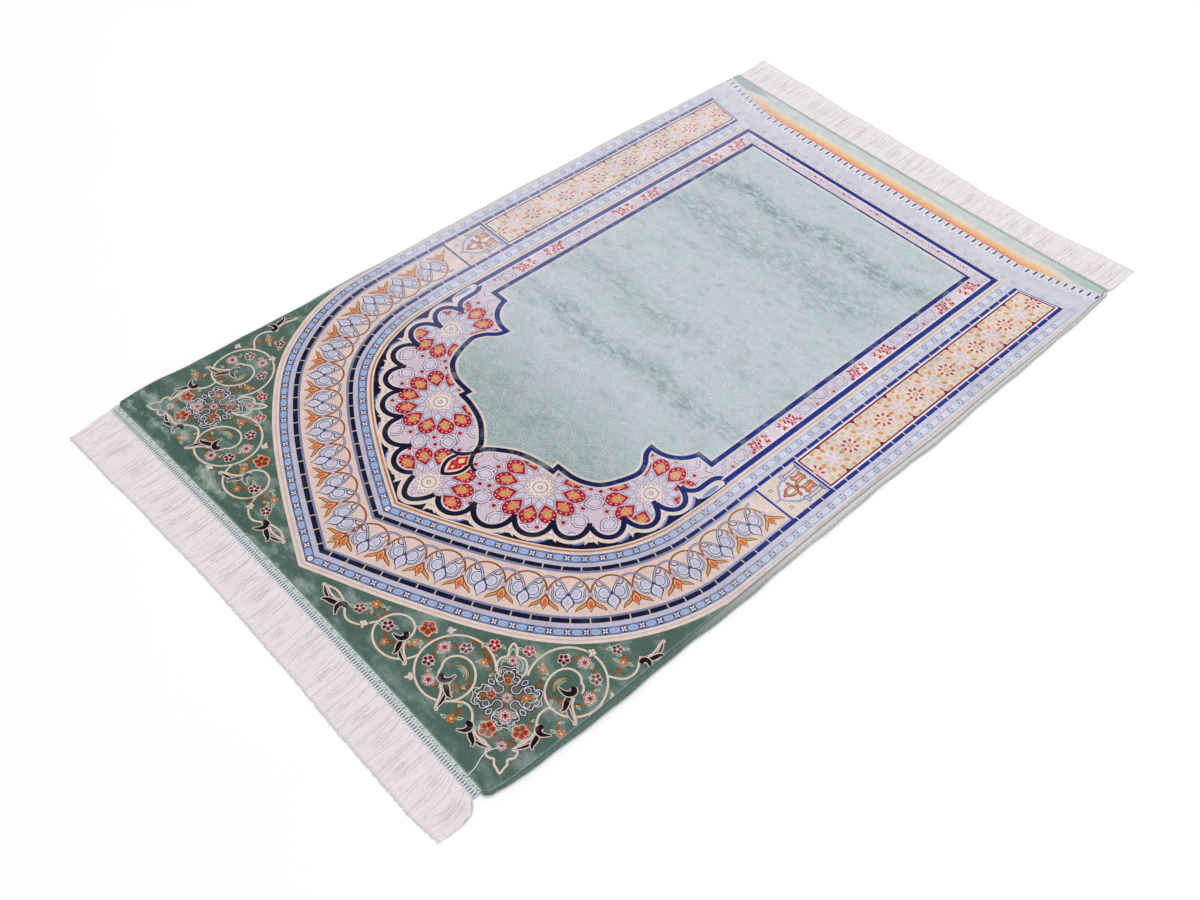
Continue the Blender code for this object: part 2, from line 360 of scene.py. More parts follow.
class Path:
    """Places along a line: bends what is drawn as (run along the line, outward) round it."""

    def __init__(self, line):
        self.line = line
        self.run = lengths(line)
        flat = np.vstack([np.repeat(line[:1], 4, 0), line, np.repeat(line[-1:], 4, 0)])
        flat[:4] = line[0] - (line[1] - line[0]) * np.arange(4, 0, -1)[:, None]
        flat[-4:] = line[-1] + (line[-1] - line[-2]) * np.arange(1, 5)[:, None]
        self.way = unit(flat[8:] - flat[:-8])

    def run_to(self, y):
        return float(np.interp(-y, -self.line[:, 1], self.run))

    def bend(self, points):
        """Follows every bend of the line."""
        q = np.asarray(points, float)
        way = unit(at_length(self.way, self.run, q[:, 0]))
        place = at_length(self.line, self.run, q[:, 0]) + way * np.minimum(q[:, :1], 0)
        return place + left_of(way) * q[:, 1:]

    def put(self, points, s):
        """Stays stiff, turned to the line's direction at s."""
        q = np.asarray(points, float)
        way = unit(at_length(tangents(self.line), self.run, s))
        return at_length(self.line, self.run, s) + q[:, :1] * way + q[:, 1:] * left_of(way)


# Two lines across the foot: where along the rug each starts, how steeply it falls, and from how far out
PANEL_END, PANEL_SLOPE, PANEL_INNER = -509.4, 0.203, 291.0
TICK_LINE, TICK_SLOPE, TICK_LEVEL = -554.9, 0.252, 266.0


def panel_low(x):
    """Where the side panels and their stripes end: a line that falls outwards."""
    return PANEL_END - PANEL_SLOPE * (np.abs(x) - PANEL_INNER)


def foot_low(x):
    """The middle of the ticks across the foot, level between the sides and falling to the corners."""
    return TICK_LINE - TICK_SLOPE * np.maximum(np.abs(x) - TICK_LEVEL, 0)


def level(y):
    """An end that is the same all across."""
    return lambda x: x * 0 + y


def bands():
    for (first, dye), (second, _) in zip(BANDS[:-1], BANDS[1:]):
        low = level(INNER_END if first > 0 else OUTER_END)
        if -NAVY_HALF <= first < PANEL_BANDS_TO:
            low = panel_low
        paint_both(band_ring(first, second, low), dye)


def guard_flower(path, s):
    """Four pale petals and a heart in a dark ring."""
    half = [(4.3, 2.2), (2.2, 4.5), (-2.2, 4.5), (-4.3, 2.2)]
    petal = np.array([(0.5, 0.6), (2.4, 0.6), (3.0, 1.8), (2.3, 3.2), (0.9, 3.2), (0.5, 2.2)])
    paint_both(path.put(half + [(-x, -y) for x, y in half], s), "flower_ring")
    for quarter in ((1, 1), (1, -1), (-1, 1), (-1, -1)):
        paint_both(path.put(petal * quarter, s), "white")
    paint_both(path.put(oval(0, 0, 1.05, count=6), s), "flower_heart")


def guard_lozenge(path, s):
    half = [(0.0, 3.6), (1.5, 3.6), (4.2, 2.6), (6.2, 0.0), (4.2, -2.6), (1.5, -3.6), (0.0, -3.6)]
    paint_both(path.put(mirrored(half), s), "guard_pale")
    paint_both(path.put(oval(0, 0, 3.6, 1.5, 10, 8), s), "guard")
    paint_both(path.put(oval(0, 0, 2.5, 0.8, 8), s), "guard_pale")


def guards():
    """Flowers and lozenges by turns, evenly round the arch and then at the long sides' own pitch."""
    for inward, turn_at, arch_pitch, pitch, low in ((-15.7, 181.4, 21.8, 22.9, -505),
                                                    (90.8, 172.6, 21.8, 22.7, -490)):
        path = Path(band_line(inward))
        turn = path.run_to(turn_at)
        count = round(turn / arch_pitch)
        places = [turn * k / count for k in range(count + 1)]
        places += list(np.arange(turn + pitch, path.run_to(low), pitch))
        for here, following in zip(places, places[1:] + [places[-1] + pitch]):
            guard_flower(path, here)
            guard_lozenge(path, (here + following) / 2)


def stripe_ticks():
    """Short pale bars across the two navy stripes."""
    for inward, half, first, restart, low in ((0.0, 3.9, 12.0, 69.0, -505), (75.4, 3.5, 9.0, 66.5, -498)):
        path = Path(band_line(inward))
        places = list(np.arange(first, path.run_to(84), 23.9))
        places += list(np.arange(path.run_to(restart), path.run_to(low), 24.2))
        for s in places:
            paint_both(path.put(box(-0.8, -half, 0.8, half), s), "tick")


# ---------------------------------------------------------------- main border
BORDER_UNITS = 11                   # palmettes on one half, from the apex to the border's end
BORDER_MIDDLE = 37.6                # how far inside the outer navy stripe its middle runs
BORDER_FOOT = 96.9                  # where along the rug it ends
UNIT = 53.0                         # a unit's length as drawn, before it is fitted to the border
STEM_CIRCLE = 26.0


def flame(put):
    """A bud between two curling leaves, on a node of the stem."""
    for m in (-1, 1):
        curl = smooth(sided([(0.5, 2.0), (2.8, 9.5), (8.0, 16.0), (13.4, 20.0), (17.4, 24.8)], m), 2.2)
        put(leaf(curl, 5.4, 0.18, 0.62), "bark")
        put(leaf(curl[2:-1], 2.5, 0.1, 0.62), "flame_leaf")
    bud = mirrored(smooth([(0, 26.4), (2.2, 21.0), (5.4, 16.0), (5.0, 11.0), (2.4, 7.0), (0, 4.0)], 2.6))
    put(bud, "bark")
    put(bud * (0.72, 0.80) + (0, 2.8), "flame_pale")
    put(mirrored([(0, 21.6), (2.6, 17.0), (3.0, 13.0), (0, 8.0)]), "flame")


def palmette(put):
    """Two round pale lobes in their own calyx lines, and a pointed one between their heads."""
    for m in (1, -1):
        calyx = [(1.6, 5.0), (4.8, 9.8), (10.4, 12.0), (16.4, 9.4), (19.6, 2.6), (19.8, -4.6), (22.2, -10.6)]
        calyx = smooth(sided(calyx, m), 2.2)
        foot_line = sided([(16.4, -9.6), (9.0, -11.0), (3.4, -7.0), (1.0, 0)], m)
        put(np.vstack([calyx[:-3], foot_line]), "palm_glow")
        lined(put, calyx, ((3.0, "palm_line"), (1.0, "palm_glow")))
        for across, along, dye in ((7.6, 8.4, "palm_line"), (6.5, 7.3, "palm_glow"), (4.4, 5.0, "palm")):
            put(oval(m * 9.2, -0.6, across, along, 16), dye)
        hook = [(4.4, -8.4), (8.4, -11.6), (13.0, -10.6), (17.0, -12.6), (17.8, -16.6)]
        put(ribbon(smooth(sided(hook, m), 2.0), 1.6), "palm_line")
    drop = mirrored(smooth([(0, 26.2), (2.4, 20.6), (6.9, 15.0), (6.2, 8.4), (0, 0.6)], 2.5))
    shares = (((1.12, 1.05), "palm_line"), ((0.86, 0.91), "palm_glow"), ((0.54, 0.64), "palm"))
    nested(put, drop, (0, 12.4), shares)
    for m in (1, -1):
        near = smooth(sided([(0.8, 3.0), (2.4, -2.5), (4.6, -7.6), (8.0, -12.6), (11.5, -17.0)], m), 2.0)
        lined(put, near, ((3.6, "palm_line"), (1.2, "palm_glow")))
    put(oval(0, 0.4, 2.0, 2.8, 8), "palm_line")


def main_border():
    """Palmettes in circles of stem, with a flame on each node between them."""
    line = band_line(BORDER_MIDDLE)
    path = Path(line[line[:, 1] > 40])
    pitch = path.run_to(BORDER_FOOT) / BORDER_UNITS

    def at(s):
        return lambda points, dye: paint_both(path.bend(np.asarray(points) * (pitch / UNIT, 1) + (s, 0)), dye)

    for k in range(BORDER_UNITS):
        lined(at((k + 0.5) * pitch), arc(0, 0, STEM_CIRCLE, 180, 360, 9), ((2.5, "bark"), (1.0, "stem")))
    arm = [(4.6, -7.6), (8.6, -13.6), (13.4, -18.4), (20, -22.0), (26.5, -23.2)]
    for k in range(BORDER_UNITS):
        for m in (-1, 1):
            line = smooth(sided(arm, m), 2.5)
            lined(at((k + 0.5) * pitch), line, ((3.3, "palm_line"), (1.9, "palm_shade"), (0.8, "palm")))
    for k in range(BORDER_UNITS + 1):
        put = at(k * pitch)
        flame(put)
        put(box(-2.9, -2.8, 2.9, 3.4), "palm_shade")
        put(box(-1.9, -1.9, 1.9, 2.5), "node_pink")
    for k in range(BORDER_UNITS):
        palmette(at((k + 0.5) * pitch))


# ---------------------------------------------------------------- arcade between the arch and the field
# Centres of the star ornaments on one half, in the arcade and in the strip beside the field
STARS = [(0.0, 378.5), (103.5, 279.0), (208.0, 179.5)]
SIDE_STARS = [(204.6, -18.3), (204.0, -223.2), (203.4, -427.2)]
STAR_ARMS = 12
# The parts of a star's arm: shares of its size, each with its dye
KITE_DYES = ((1.17, "strap_line"), (1.10, "strap"), (1.03, "kite_line"), (0.97, "kite_rim"))
HEART_DYES = ((1.16, "kite_line"), (1.06, "kite"), (0.86, "kite_heart"))
DART_DYES = ((1.16, "strap"), (1.05, "hex_line"), (0.85, "hex_edge"), (0.52, "kite_blue"))
KITE_DOTS = ((-8.2, 49.0), (8.2, 49.0), (0, 58.3), (-4.9, 55.4), (4.9, 55.4), (-6.4, 42.0), (6.4, 42.0))
# Where the lobes of the scalloped line meet, apex first, and how deep each lobe is for its half width
SCALLOP_CUSPS = [(24.4, 381.1), (68.2, 358.9), (117.0, 334.6), (157.8, 304.8), (192.4, 274.5), (213.9, 234.5),
                 (222.2, 187.6), (226.0, 143.4)]
LOBE_DEPTH = [0.98, 0.98, 1.0, 1.0, 1.1, 1.18, 1.22]
# The navy line from the last cusp down to the blue stripe
PILLAR = [(226.5, 143.2), (235.0, 141.5), (241.2, 136.5), (244.8, 129.5), (245.3, 120.0), (245.4, 110.0),
          (246.4, 101.5), (250.0, 94.5), (255.0, 91.0), (261.0, 89.8)]


def star_rosette(x, y, keep, kites=STAR_ARMS):
    """Twelve-armed star ornament: a star, kites round it, and hexagons between straps outside them."""
    step = 360 / STAR_ARMS

    def at(number):
        def put(points, dye):
            shape = turned(points, math.radians(number * step - 90), (x, y))
            if keep(shape.mean(0)):
                paint_both(shape, dye, "arcade")
        return put

    hexagon = mirrored([(0, 15), (5.4, 11.4), (11.4, 4.0), (10.4, -5.0), (5.0, -12.0), (0, -14.5)])
    kite = mirrored([(0, 61.5), (5.6, 59.5), (10.0, 54.5), (11.9, 48.0), (9.8, 42.0), (4.8, 35.5), (0, 30)])
    heart = mirrored([(0, 55.5), (4.2, 51.8), (6.9, 46.0), (5.0, 40.0), (0, 35.0)])
    dart = mirrored([(0, 38.5), (3.6, 32.5), (5.0, 27.5), (0, 19.5)])
    for k in range(STAR_ARMS):
        for share, dye in ((1.0, "hex_line"), (0.89, "hex_edge"), (0.68, "hex_line"), (0.60, "hex")):
            at(k)(hexagon * share + (0, 75.5), dye)
    for k in range(STAR_ARMS):
        put = at(k + 0.5)
        for width, dye in ((4.4, "strap_line"), (2.9, "strap")):
            put(ribbon([(0, 34), (0, 62)], width), dye)
            put(ribbon([(-11, 69.2), (0, 65.5), (11, 69.2)], width * 0.72), dye)
        for radius, dye in ((6.6, "strap_line"), (5.6, "strap"), (3.9, "diamond")):
            put(oval(0, 65.5, radius, count=4), dye)
        put(hexagon * 0.72 + (0, 93.0), "hex_line")
        put(hexagon * 0.60 + (0, 93.0), "hex_edge")
    for k in range(kites):
        put = at(k)
        nested(put, kite, (0, 46.0), KITE_DYES)
        nested(put, heart, (0, 46.0), HEART_DYES)
        put(oval(0, 45.5, 2.2, 3.8, 8), "kite_seed")
        for across, along in ((-3.7, 44.6), (3.7, 44.6), (0, 51.6), (0, 40.0)):
            put(oval(across, along, 0.85, count=5), "kite_line")
        for across, along in KITE_DOTS:
            put(oval(across, along, 1.3, count=6), "kite_dot")
    for k in range(STAR_ARMS):
        nested(at(k + 0.5), dart, (0, 28.5), DART_DYES)
    if not keep(np.array([x, y])):
        return
    star = np.stack([oval(x, y, 21.5, count=STAR_ARMS), oval(x, y, 16.0, count=STAR_ARMS, turn=step / 2)], 1)
    star = star.reshape(-1, 2)
    for shape, dye in ((star, "hex_line"), ((star - (x, y)) * 0.95 + (x, y), "star"),
                       (oval(x, y, 10.1, count=20), "star_line"), (oval(x, y, 8.7, count=20), "star")):
        paint_both(shape, dye, "arcade")
    for px, py in oval(x, y, 14.6, count=STAR_ARMS):
        paint_both(oval(px, py, 1.2, count=5), "star_dot", "arcade")
    paint_both(oval(x, y, 3.3, count=10), "star_dot", "arcade")
    paint_both(oval(x, y, 1.9, count=8), "star", "arcade")


def star_band():
    """Rose ground of the arcade and of the strip round the field, with stars in both."""
    areas["arcade"] = band_area(100.0)
    paint(areas["arcade"], "arcade")
    centres = np.array(STARS + [(-x, y) for x, y in STARS[1:]])
    for number, (x, y) in enumerate(STARS):
        def nearest(q, own=number):
            distance = np.linalg.norm(centres - q, axis=1)
            return q[0] > -8 and distance[own] <= distance.min() + 6.0
        star_rosette(x, y, nearest)
    for x, y in SIDE_STARS:
        star_rosette(x, y, lambda q: 224 < q[0] < 264 and -560 < q[1] < 92, 0)
        side_links(x + 44.0, y)
        side_facets(x + 44.0, y)


def side_links(x, y):
    """Straps, a red diamond and a pale facet beyond each end of a side star's kites."""
    facet = mirrored([(0, 12.6), (7.0, 7.5), (9.2, 0), (7.0, -7.5), (0, -12.6)])
    for m in (-1, 1):
        for share, dye in ((1.0, "hex_line"), (0.90, "hex_edge"), (0.66, "hex_line"), (0.58, "hex")):
            paint_both(facet * share + (x - 9.5, y + m * 102.4), dye, "arcade")
            paint_both(facet * share * 0.72 + (x + 6.5, y + m * 72.0), dye, "arcade")
        for width, dye in ((2.7, "strap_line"), (1.4, "strap")):
            for line in ([(-19, 67), (-9, 76), (0, 86), (9, 99)], [(8, 84), (0, 85), (-11, 90), (-19, 84)],
                         [(9, 72), (0, 85), (1, 96), (9, 108)]):
                paint_both(ribbon(np.array(line) * (1, m) + (x, y), width), dye, "arcade")
        for radius, dye in ((5.4, "strap_line"), (4.5, "strap"), (3.2, "diamond")):
            paint_both(oval(x, y + m * 85.0, radius, count=4), dye, "arcade")
        paint_both(oval(x + 5.0, y + m * 97.0, 1.6, count=4), "kite_heart", "arcade")


def side_facets(x, y):
    """What shows of a side star's arms in the strip: small broken facets, redder and narrower outwards."""
    inner = ("strap", "hex_edge", "kite_rim", "white", "hex", "kite_dot", "strap")
    middle = ("kite_heart", "white", "crimson", "kite_heart", "flower_rim", "kite_rim", "strap")
    outer = ("crimson", "kite_rim", "white", "kite_rim", "kite", "kite_rim", "crimson")
    for m in (-1, 1):
        for row in range(12):
            dyes = inner if row < 3 else middle if row < 7 else outer
            half = 15.5 * math.sin(math.pi * (0.16 + 0.066 * row))
            for column in range(-3, 4):
                across = x + 3.0 - 0.9 * row + column * 4.6 + 1.2 * math.sin(2.3 * row + column)
                if abs(across - x) > 16.0 or abs(column * 4.6) > half:
                    continue
                along = y + m * (7.0 + row * 3.1 + 0.9 * math.cos(1.9 * column + row))
                spin = math.radians(34 * (1 if (row + column) % 2 else -1) + 9 * column)
                facet = turned([(-3.4, 0), (-0.4, 2.3), (3.1, 0.5), (0.5, -2.2)], spin, (across, along))
                paint_both(facet, dyes[(row * 3 + column * 2) % len(dyes)], "arcade")
        for reach, lean in ((12.0, 9.0), (24.0, -8.0), (35.0, 8.0)):
            strap = np.array([(-15.0, m * (reach - lean)), (0.0, m * reach),
                              (14.0, m * (reach + lean * 0.4))])
            paint_both(ribbon(strap + (x, y), 1.3), "strap", "arcade")


def field_edge():
    """One half of the field's outline: an ogee at the apex, a round lobe, a corner lobe, then straight."""
    notch = smooth([(0.0, 300.0), (8.7, 284.7), (39.1, 262.2), (73.4, 251.4), (94.0, 249.0)], 4.0)
    lobe = smooth([(92.6, 238.4), (117.6, 236.7), (139.6, 228.7), (157.3, 212.5), (171.8, 173.0),
                   (167.3, 152.5), (155.0, 137.3), (150.6, 124.1)], 4.0)
    corner = arc_through((150.6, 122.8), (189.5, 109.2), (202.5, 84.8))
    return np.vstack([notch, lobe, corner, [(FIELD_HALF, corner[-1, 1]), (FIELD_HALF, FIELD_FOOT)]])


def offset_edge(half, out):
    """Moves a half outline that starts on the centre line sideways, with mitred corners."""
    q = np.vstack([half[1] * (-1, 1), half, [(0.0, half[-1, 1])]])
    before, after = unit(q[1:-1] - q[:-2]), unit(q[2:] - q[1:-1])
    mitre = unit(left_of(before) + left_of(after))
    reach = out / np.maximum(0.35, (mitre * left_of(before)).sum(1))
    moved = q[1:-1] + mitre * reach[:, None]
    moved[0, 0] = 0
    return moved


def field():
    edge = field_edge()
    for out, dye in ((FIELD_RIM, "cream"), (4.0, "navy"), (-3.6, "cream"), (-7.2, "field")):
        areas["field"] = both_halves(offset_edge(edge, out))
        paint(areas["field"], dye)
    field_tracery()
    side = FIELD_HALF + 1.0
    for low, high, dye in ((-7.2, -3.8, "arcade"), (-3.8, -1.8, "cream"), (2.0, 3.8, "cream")):
        paint(box(-side + high, FIELD_FOOT + low, side - high, FIELD_FOOT + high), dye)
    for k, x in enumerate(np.arange(10.0, 214.0, 12.4)):
        dye = ("pink", "kite", "kite_rim", "kite_heart", "sage")[k % 5]
        paint_both(oval(x, -490.6 + 0.8 * math.sin(k), 3.6 if k % 5 else 4.6, 2.0, 7, 24), dye)
        paint_both(ribbon([(x + 3, -495.2), (x + 6, -491.0), (x + 8.6, -486.6)], 0.9), "hex_line")


TRACERY = 74.0                      # pitch of the field's tone-on-tone circles


def field_tracery():
    """Interlaced circles in double lines, with leaves between, a shade off the field's own dye."""
    def both_lines(line, width):
        paint(ribbon(line + (0.5, -0.5), width), "field_line", "field")
        paint(ribbon(line, width * 0.72), "field_glow", "field")

    for row in range(-16, 11):
        for column in range(-7, 8):
            x, y = column * TRACERY / 2, row * TRACERY / 2 + 22
            if (row + column) % 2:
                for k in range(4):
                    spine = turned(arc(9, -5, 10, 90, 10, 20), math.radians(90 * k), (x, y))
                    paint(leaf(spine, 4.6, 0.2, 0.5), "field_leaf", "field")
                    both_lines(spine, 1.3)
                both_lines(arc(x, y, 4.6, 0, 360, 30), 1.4)
                continue
            for radius in (TRACERY * 0.50, TRACERY * 0.435):
                both_lines(arc(x, y, radius, 0, 360, 12), 1.5)
            for k in range(8):
                spine = turned([(8, 0), (13, 2.2), (19, 1.2), (25, -1.5)], math.radians(45 * k + 10), (x, y))
                paint(leaf(spine, 6.0, 0.1, 0.5), "field_leaf", "field")
                both_lines(spine, 1.2)
            both_lines(arc(x, y, 6.5, 0, 360, 30), 1.4)


def scallop_lobes(grow=0.0):
    """One half of the scalloped line, apex first. A lobe moves out as it grows."""
    top = np.array([(0.0, 414.7), (7.0, 412.3), (14.4, 404.4), (19.7, 393.7), (21.5, 386.0)])
    if grow:
        middle = np.array([0.0, 388.0])
        top = middle + (top - middle) * (1 + grow / np.linalg.norm(top - middle, axis=1))[:, None]
    lobes = [smooth(top)]
    cusps = np.array(SCALLOP_CUSPS)
    for a, b, depth in zip(cusps[:-1], cusps[1:], LOBE_DEPTH):
        half = np.linalg.norm(b - a) / 2
        along = unit(b - a)
        angles = np.radians(np.linspace(172, 8, 17))[:, None]
        across = along * (half * 0.95 + grow) * np.cos(angles)
        outward = left_of(along) * (half * depth + grow) * np.sin(angles)
        lobes.append((a + b) / 2 + (across + outward))
    return lobes, cusps


def fleuron(cusp, way):
    """A small open flower that stands on a cusp of the scalloped line."""
    reach = 31.5
    side = np.array([way[1], -way[0]])
    half = [(0, reach - 4.0), (3.0, reach - 5.0), (8.6, reach), (8.0, reach - 7), (7.0, 17), (5.5, 6)]
    mark = [(0, reach - 8.5), (1.2, reach - 11.0), (4.4, reach - 7.0), (3.4, reach - 14), (0, reach - 20)]
    inner = [(0, reach - 11.5), (1.8, reach - 13.5), (3.2, reach - 10.5), (2.5, reach - 14),
             (0, reach - 18.4)]
    for shape, dye in ((half, "cream"), (mark, "fleuron"), (inner, "white")):
        paint_both([cusp + side * x + way * y for x, y in mirrored(shape)], dye)


def scallops():
    """The dark spandrel of the inner arch, its scalloped lines and the fleurons between the lobes."""
    lobes, cusps = scallop_lobes()
    low = 92.0
    outer = band_line(LAST_BAND)
    outer = outer[outer[:, 1] > low]
    paint_both(np.vstack([outer, PILLAR[::-1], np.vstack(lobes)[::-1]]), "spandrel")
    for lobe in scallop_lobes(10.5)[0][1:]:
        paint_both(leaf(lobe[int(len(lobe) * 0.56):], 5.2, 0.3, 0.55), "spandrel_blue")
    capital = [(247, 142), (256, 141), (259.4, 136), (262.6, 126), (263.2, 97), (255, 92), (247, 96),
               (245, 118)]
    paint_both(capital, "cream")
    eye = [(257.4, 135), (260.4, 130), (261.6, 118), (260.6, 108), (257.8, 104), (255.6, 110), (255, 122)]
    paint_both(smooth(eye, 3, closed=True), "spandrel_blue")
    for lobe in scallop_lobes(6.4)[0]:
        paint_both(ribbon(lobe, 6.0), "cream")
    pillar = smooth(PILLAR)
    paint_both(ribbon(pillar[:-18] + (5.0, 3.0), 7.0), "cream")
    for k, cusp in enumerate(cusps[:-1]):
        way = np.array([0.45, 0.9]) if k == 0 else left_of(unit(cusps[k + 1] - cusps[k - 1]))
        fleuron(cusp, unit(way * (1, 0.4)) if k >= 5 else unit(way))
    for lobe in scallop_lobes(-5.0)[0]:
        paint_both(ribbon(lobe, 2.4), "pale_line")
    for lobe in lobes:
        paint_both(ribbon(lobe, 7.5), "navy")
    for before, cusp, after in zip(cusps, cusps[1:], list(cusps[2:]) + [cusps[-1]]):
        way = unit(after - before)
        out = left_of(way)
        joint = [cusp + way * 4.4 + out * 5, cusp - way * 4.4 + out * 5, cusp - way * 3.4 - out * 3.6,
                 cusp + way * 3.4 - out * 3.6]
        paint_both(joint, "navy")
    paint_both(ribbon(pillar - (4.6, 1.6), 3.0), "cream")
    paint_both(ribbon(pillar, 7.5), "navy")


GEM_MIDDLE = 332.5


def gem_arch():
    """The small pointed arch over the field's notch, with a red gem in it."""
    def put(points, dye):
        paint(np.asarray(points) + (0, GEM_MIDDLE), dye)

    halo = smooth([(0, 29.2), (9.5, 21.2), (17.5, 9.5), (18.5, -4.2), (13.8, -15.9), (6.4, -25.4)], 2.5)
    put(mirrored(halo), "cream")
    for m in (-1, 1):
        wing = smooth(sided([(-1.5, -38), (2, -27), (9, -17), (18, -10.5), (26, -10.5)], m), 2.5)
        put(ribbon(wing, 4.6), "navy")
        arm = smooth(sided([(0, 24.5), (8.0, 16.5), (13.4, 5), (12.6, -7), (6, -16.5), (1.5, -26)], m), 2.5)
        put(ribbon(arm, 5.4), "navy")
    put(mirrored([(0, 27.5), (4.5, 21), (0, 21)]), "navy")
    gem = [(0, 17.5), (5, 9), (9.2, 1.0), (7.4, -3.5), (9.6, -8.0), (4.5, -13.5), (0, -20.5)]
    gem = mirrored(smooth(gem, 2.0))
    put(gem * 1.12, "cream")
    put(gem, "red")
    put(oval(0, 7.2, 2.3, 2.9, 8), "gold_spot")
    for m in (-1, 1):
        put(oval(m * 3.6, 0.4, 1.5, count=6), "orange")
    put(mirrored(smooth([(0, -1.5), (4.4, -7.5), (0, -14.5)], 2)), "gold_spot")
    put(oval(0, -7.5, 1.7, 2.6, 8), "white")


def straight_stripes():
    """Blue stripe round the strip of stars, from the arcade down and across the foot."""
    for out, inner, dye in ((BLUE_REACH, 4.1, "pale_line"), (4.1, -4.1, "navy"), (-4.1, -6.4, "white")):
        side, low = (BLUE_HALF + out, BLUE_HALF + inner), (BLUE_FOOT - out * 0.92, BLUE_FOOT - inner * 0.92)
        paint_both([(side[0], BLUE_TOP), (side[0], low[0]), (0, low[0]), (0, low[1]), (side[1], low[1]),
                    (side[1], BLUE_TOP)], dye)


# ---------------------------------------------------------------- green corners: scrolls, flowers and leaves
SCROLL_RADII = (49.0, 44.5, 43.5, 42.5, 25.0, 16.3, 12.4)     # at each quarter turn, outside to inside
SMALL_RADII = (40.0, 27.5, 27.5, 26.0, 13.0)
SCROLL_LINE = 2.5
SCROLLS = [                          # centre, angle of its first point in degrees, which way it winds, radii
    ((237.3, 529.4), 316.0, -1, SCROLL_RADII),
    ((340.0, 444.1), 143.0, 1, SCROLL_RADII),
    ((157.2, 548.9), -4.0, 1, SMALL_RADII),
]
SCROLL_LINKS = [
    [(340.4, 562.6), (330.4, 561.6), (320.0, 563.6), (311.0, 562.4), (304.0, 556.4), (293.0, 548.0),
     (281.0, 547.6), (268.0, 557.5)],
    [(359.4, 544.0), (358.2, 534.0), (360.4, 523.6), (359.0, 514.6), (353.0, 507.0), (346.6, 497.0),
     (346.8, 485.0), (352.8, 480.0)],
    [(129.9, 552.6), (118.0, 572.0), (100.0, 578.0), (81.8, 567.0), (62.0, 562.5), (45.2, 567.4)],
    [(363.2, 408.8), (380.9, 396.5), (384.0, 380.0), (373.0, 362.0)],
    [(228.4, 538.0), (229.5, 542.5), (233.0, 546.5), (238.0, 548.0)],
    [(348.6, 435.2), (353.1, 436.3), (357.1, 439.8), (358.6, 444.8)],
]
# Halves of two small brackets, and where each stands and which way it opens
BRACKET = [(0, 0), (1.3, 6.6), (2.3, 11.8), (6.4, 17.0), (4.3, 20.4), (3.1, 24.2), (4.6, 28.8), (8.4, 31.0),
           (11.4, 30.0), (12.2, 27.4)]
TREFOIL = [(0, 0), (2.4, 8.8), (7.8, 15.6), (4.9, 24.0), (8.3, 32.3), (15.6, 38.1), (22.5, 39.6)]
BRACKETS = [((370.4, 574.4), -1, BRACKET), ((258.4, 456.9), 1, TREFOIL)]
FLOWERS = [                          # x, y, radius, kind
    (321.5, 550, 9.6, "orange"), (348.6, 526.2, 9.2, "orange"), (176, 516, 10.0, "orange"),
    (285.5, 571, 6.2, "gold"), (245, 474.5, 7.8, "red"), (278.4, 450.7, 7.4, "red"), (157, 565, 5.6, "gold"),
    (142, 548.5, 7.8, "maroon"), (181, 540, 6.2, "gold"), (100, 558, 7.4, "maroon"),
    (108.5, 540.6, 6.4, "gold"), (380, 495, 6.4, "gold"), (348, 375, 7.0, "maroon"),
    (365, 382.5, 5.8, "gold"), (347.5, 552, 5.6, "pink"), (322.5, 525.2, 7.6, "pink"),
    (291.5, 519, 5.2, "orange"), (307, 509.0, 5.6, "pink"), (321.5, 494, 5.4, "gold"),
    (291.5, 494.5, 4.4, "orange"), (275, 473, 5.8, "pink"),
]
FLOWER_KINDS = {                     # dyes of edge, petal, vein and heart, and how many petals
    "orange": ("flower_amber", "flower_orange", "flower_red", "flower_gold", 5),
    "gold": ("bark", "flower_gold", "flower_orange", "cream", 5),
    "pink": ("flower_dark", "pink", "crimson", "maroon", 6),
    "maroon": ("flower_rim", "maroon", "leaf_dark", "white", 5),
    "red": ("flower_rim", "crimson", "maroon", "white", 5),
}
RING_FLOWERS = ("pink", "maroon", "pink", "maroon", "gold")
STEMS = [
    [(288, 567), (282, 558), (269, 551)], [(343, 552), (334, 551), (314, 545), (303, 538)],
    [(346, 549), (351, 538), (352, 520), (345, 506)], [(284, 515), (268, 502), (256, 493), (252, 478)],
    [(157, 564), (166, 557), (182, 545), (182, 535.5), (188, 524), (177, 516)],
    [(157, 564), (148, 556), (141, 547), (126, 537), (109, 540)], [(128, 545), (119, 551), (100, 557)],
    [(318, 478), (313, 460), (300, 452), (280.5, 450.3)], [(380, 495.5), (370, 491), (361, 473)],
    [(371, 401), (363.6, 381.5), (353.3, 376.4), (335, 388)], [(252, 492), (237, 487), (222, 489)],
    [(196, 525), (203, 520), (211, 522)],
]
DARK_LEAVES = [                      # x and y of the root, those of the head, and the side of the hooks
    (339.5, 562.0, 302.5, 559.5, -1), (358.6, 543.0, 357.8, 506.0, 1), (262.8, 575.0, 235.1, 545.7, 1),
    (195.5, 563.5, 166.0, 539.0, -1), (45.0, 567.5, 86.0, 567.0, 1), (380.2, 473.2, 349.0, 446.2, -1),
    (376.0, 330.0, 378.0, 366.0, -1),
]
# x, y and the direction that each points in, in degrees
WHITE_BUDS = [(214, 570, 118), (389, 422, 200), (196, 500, 300), (330, 398, 70), (120, 566, 60)]


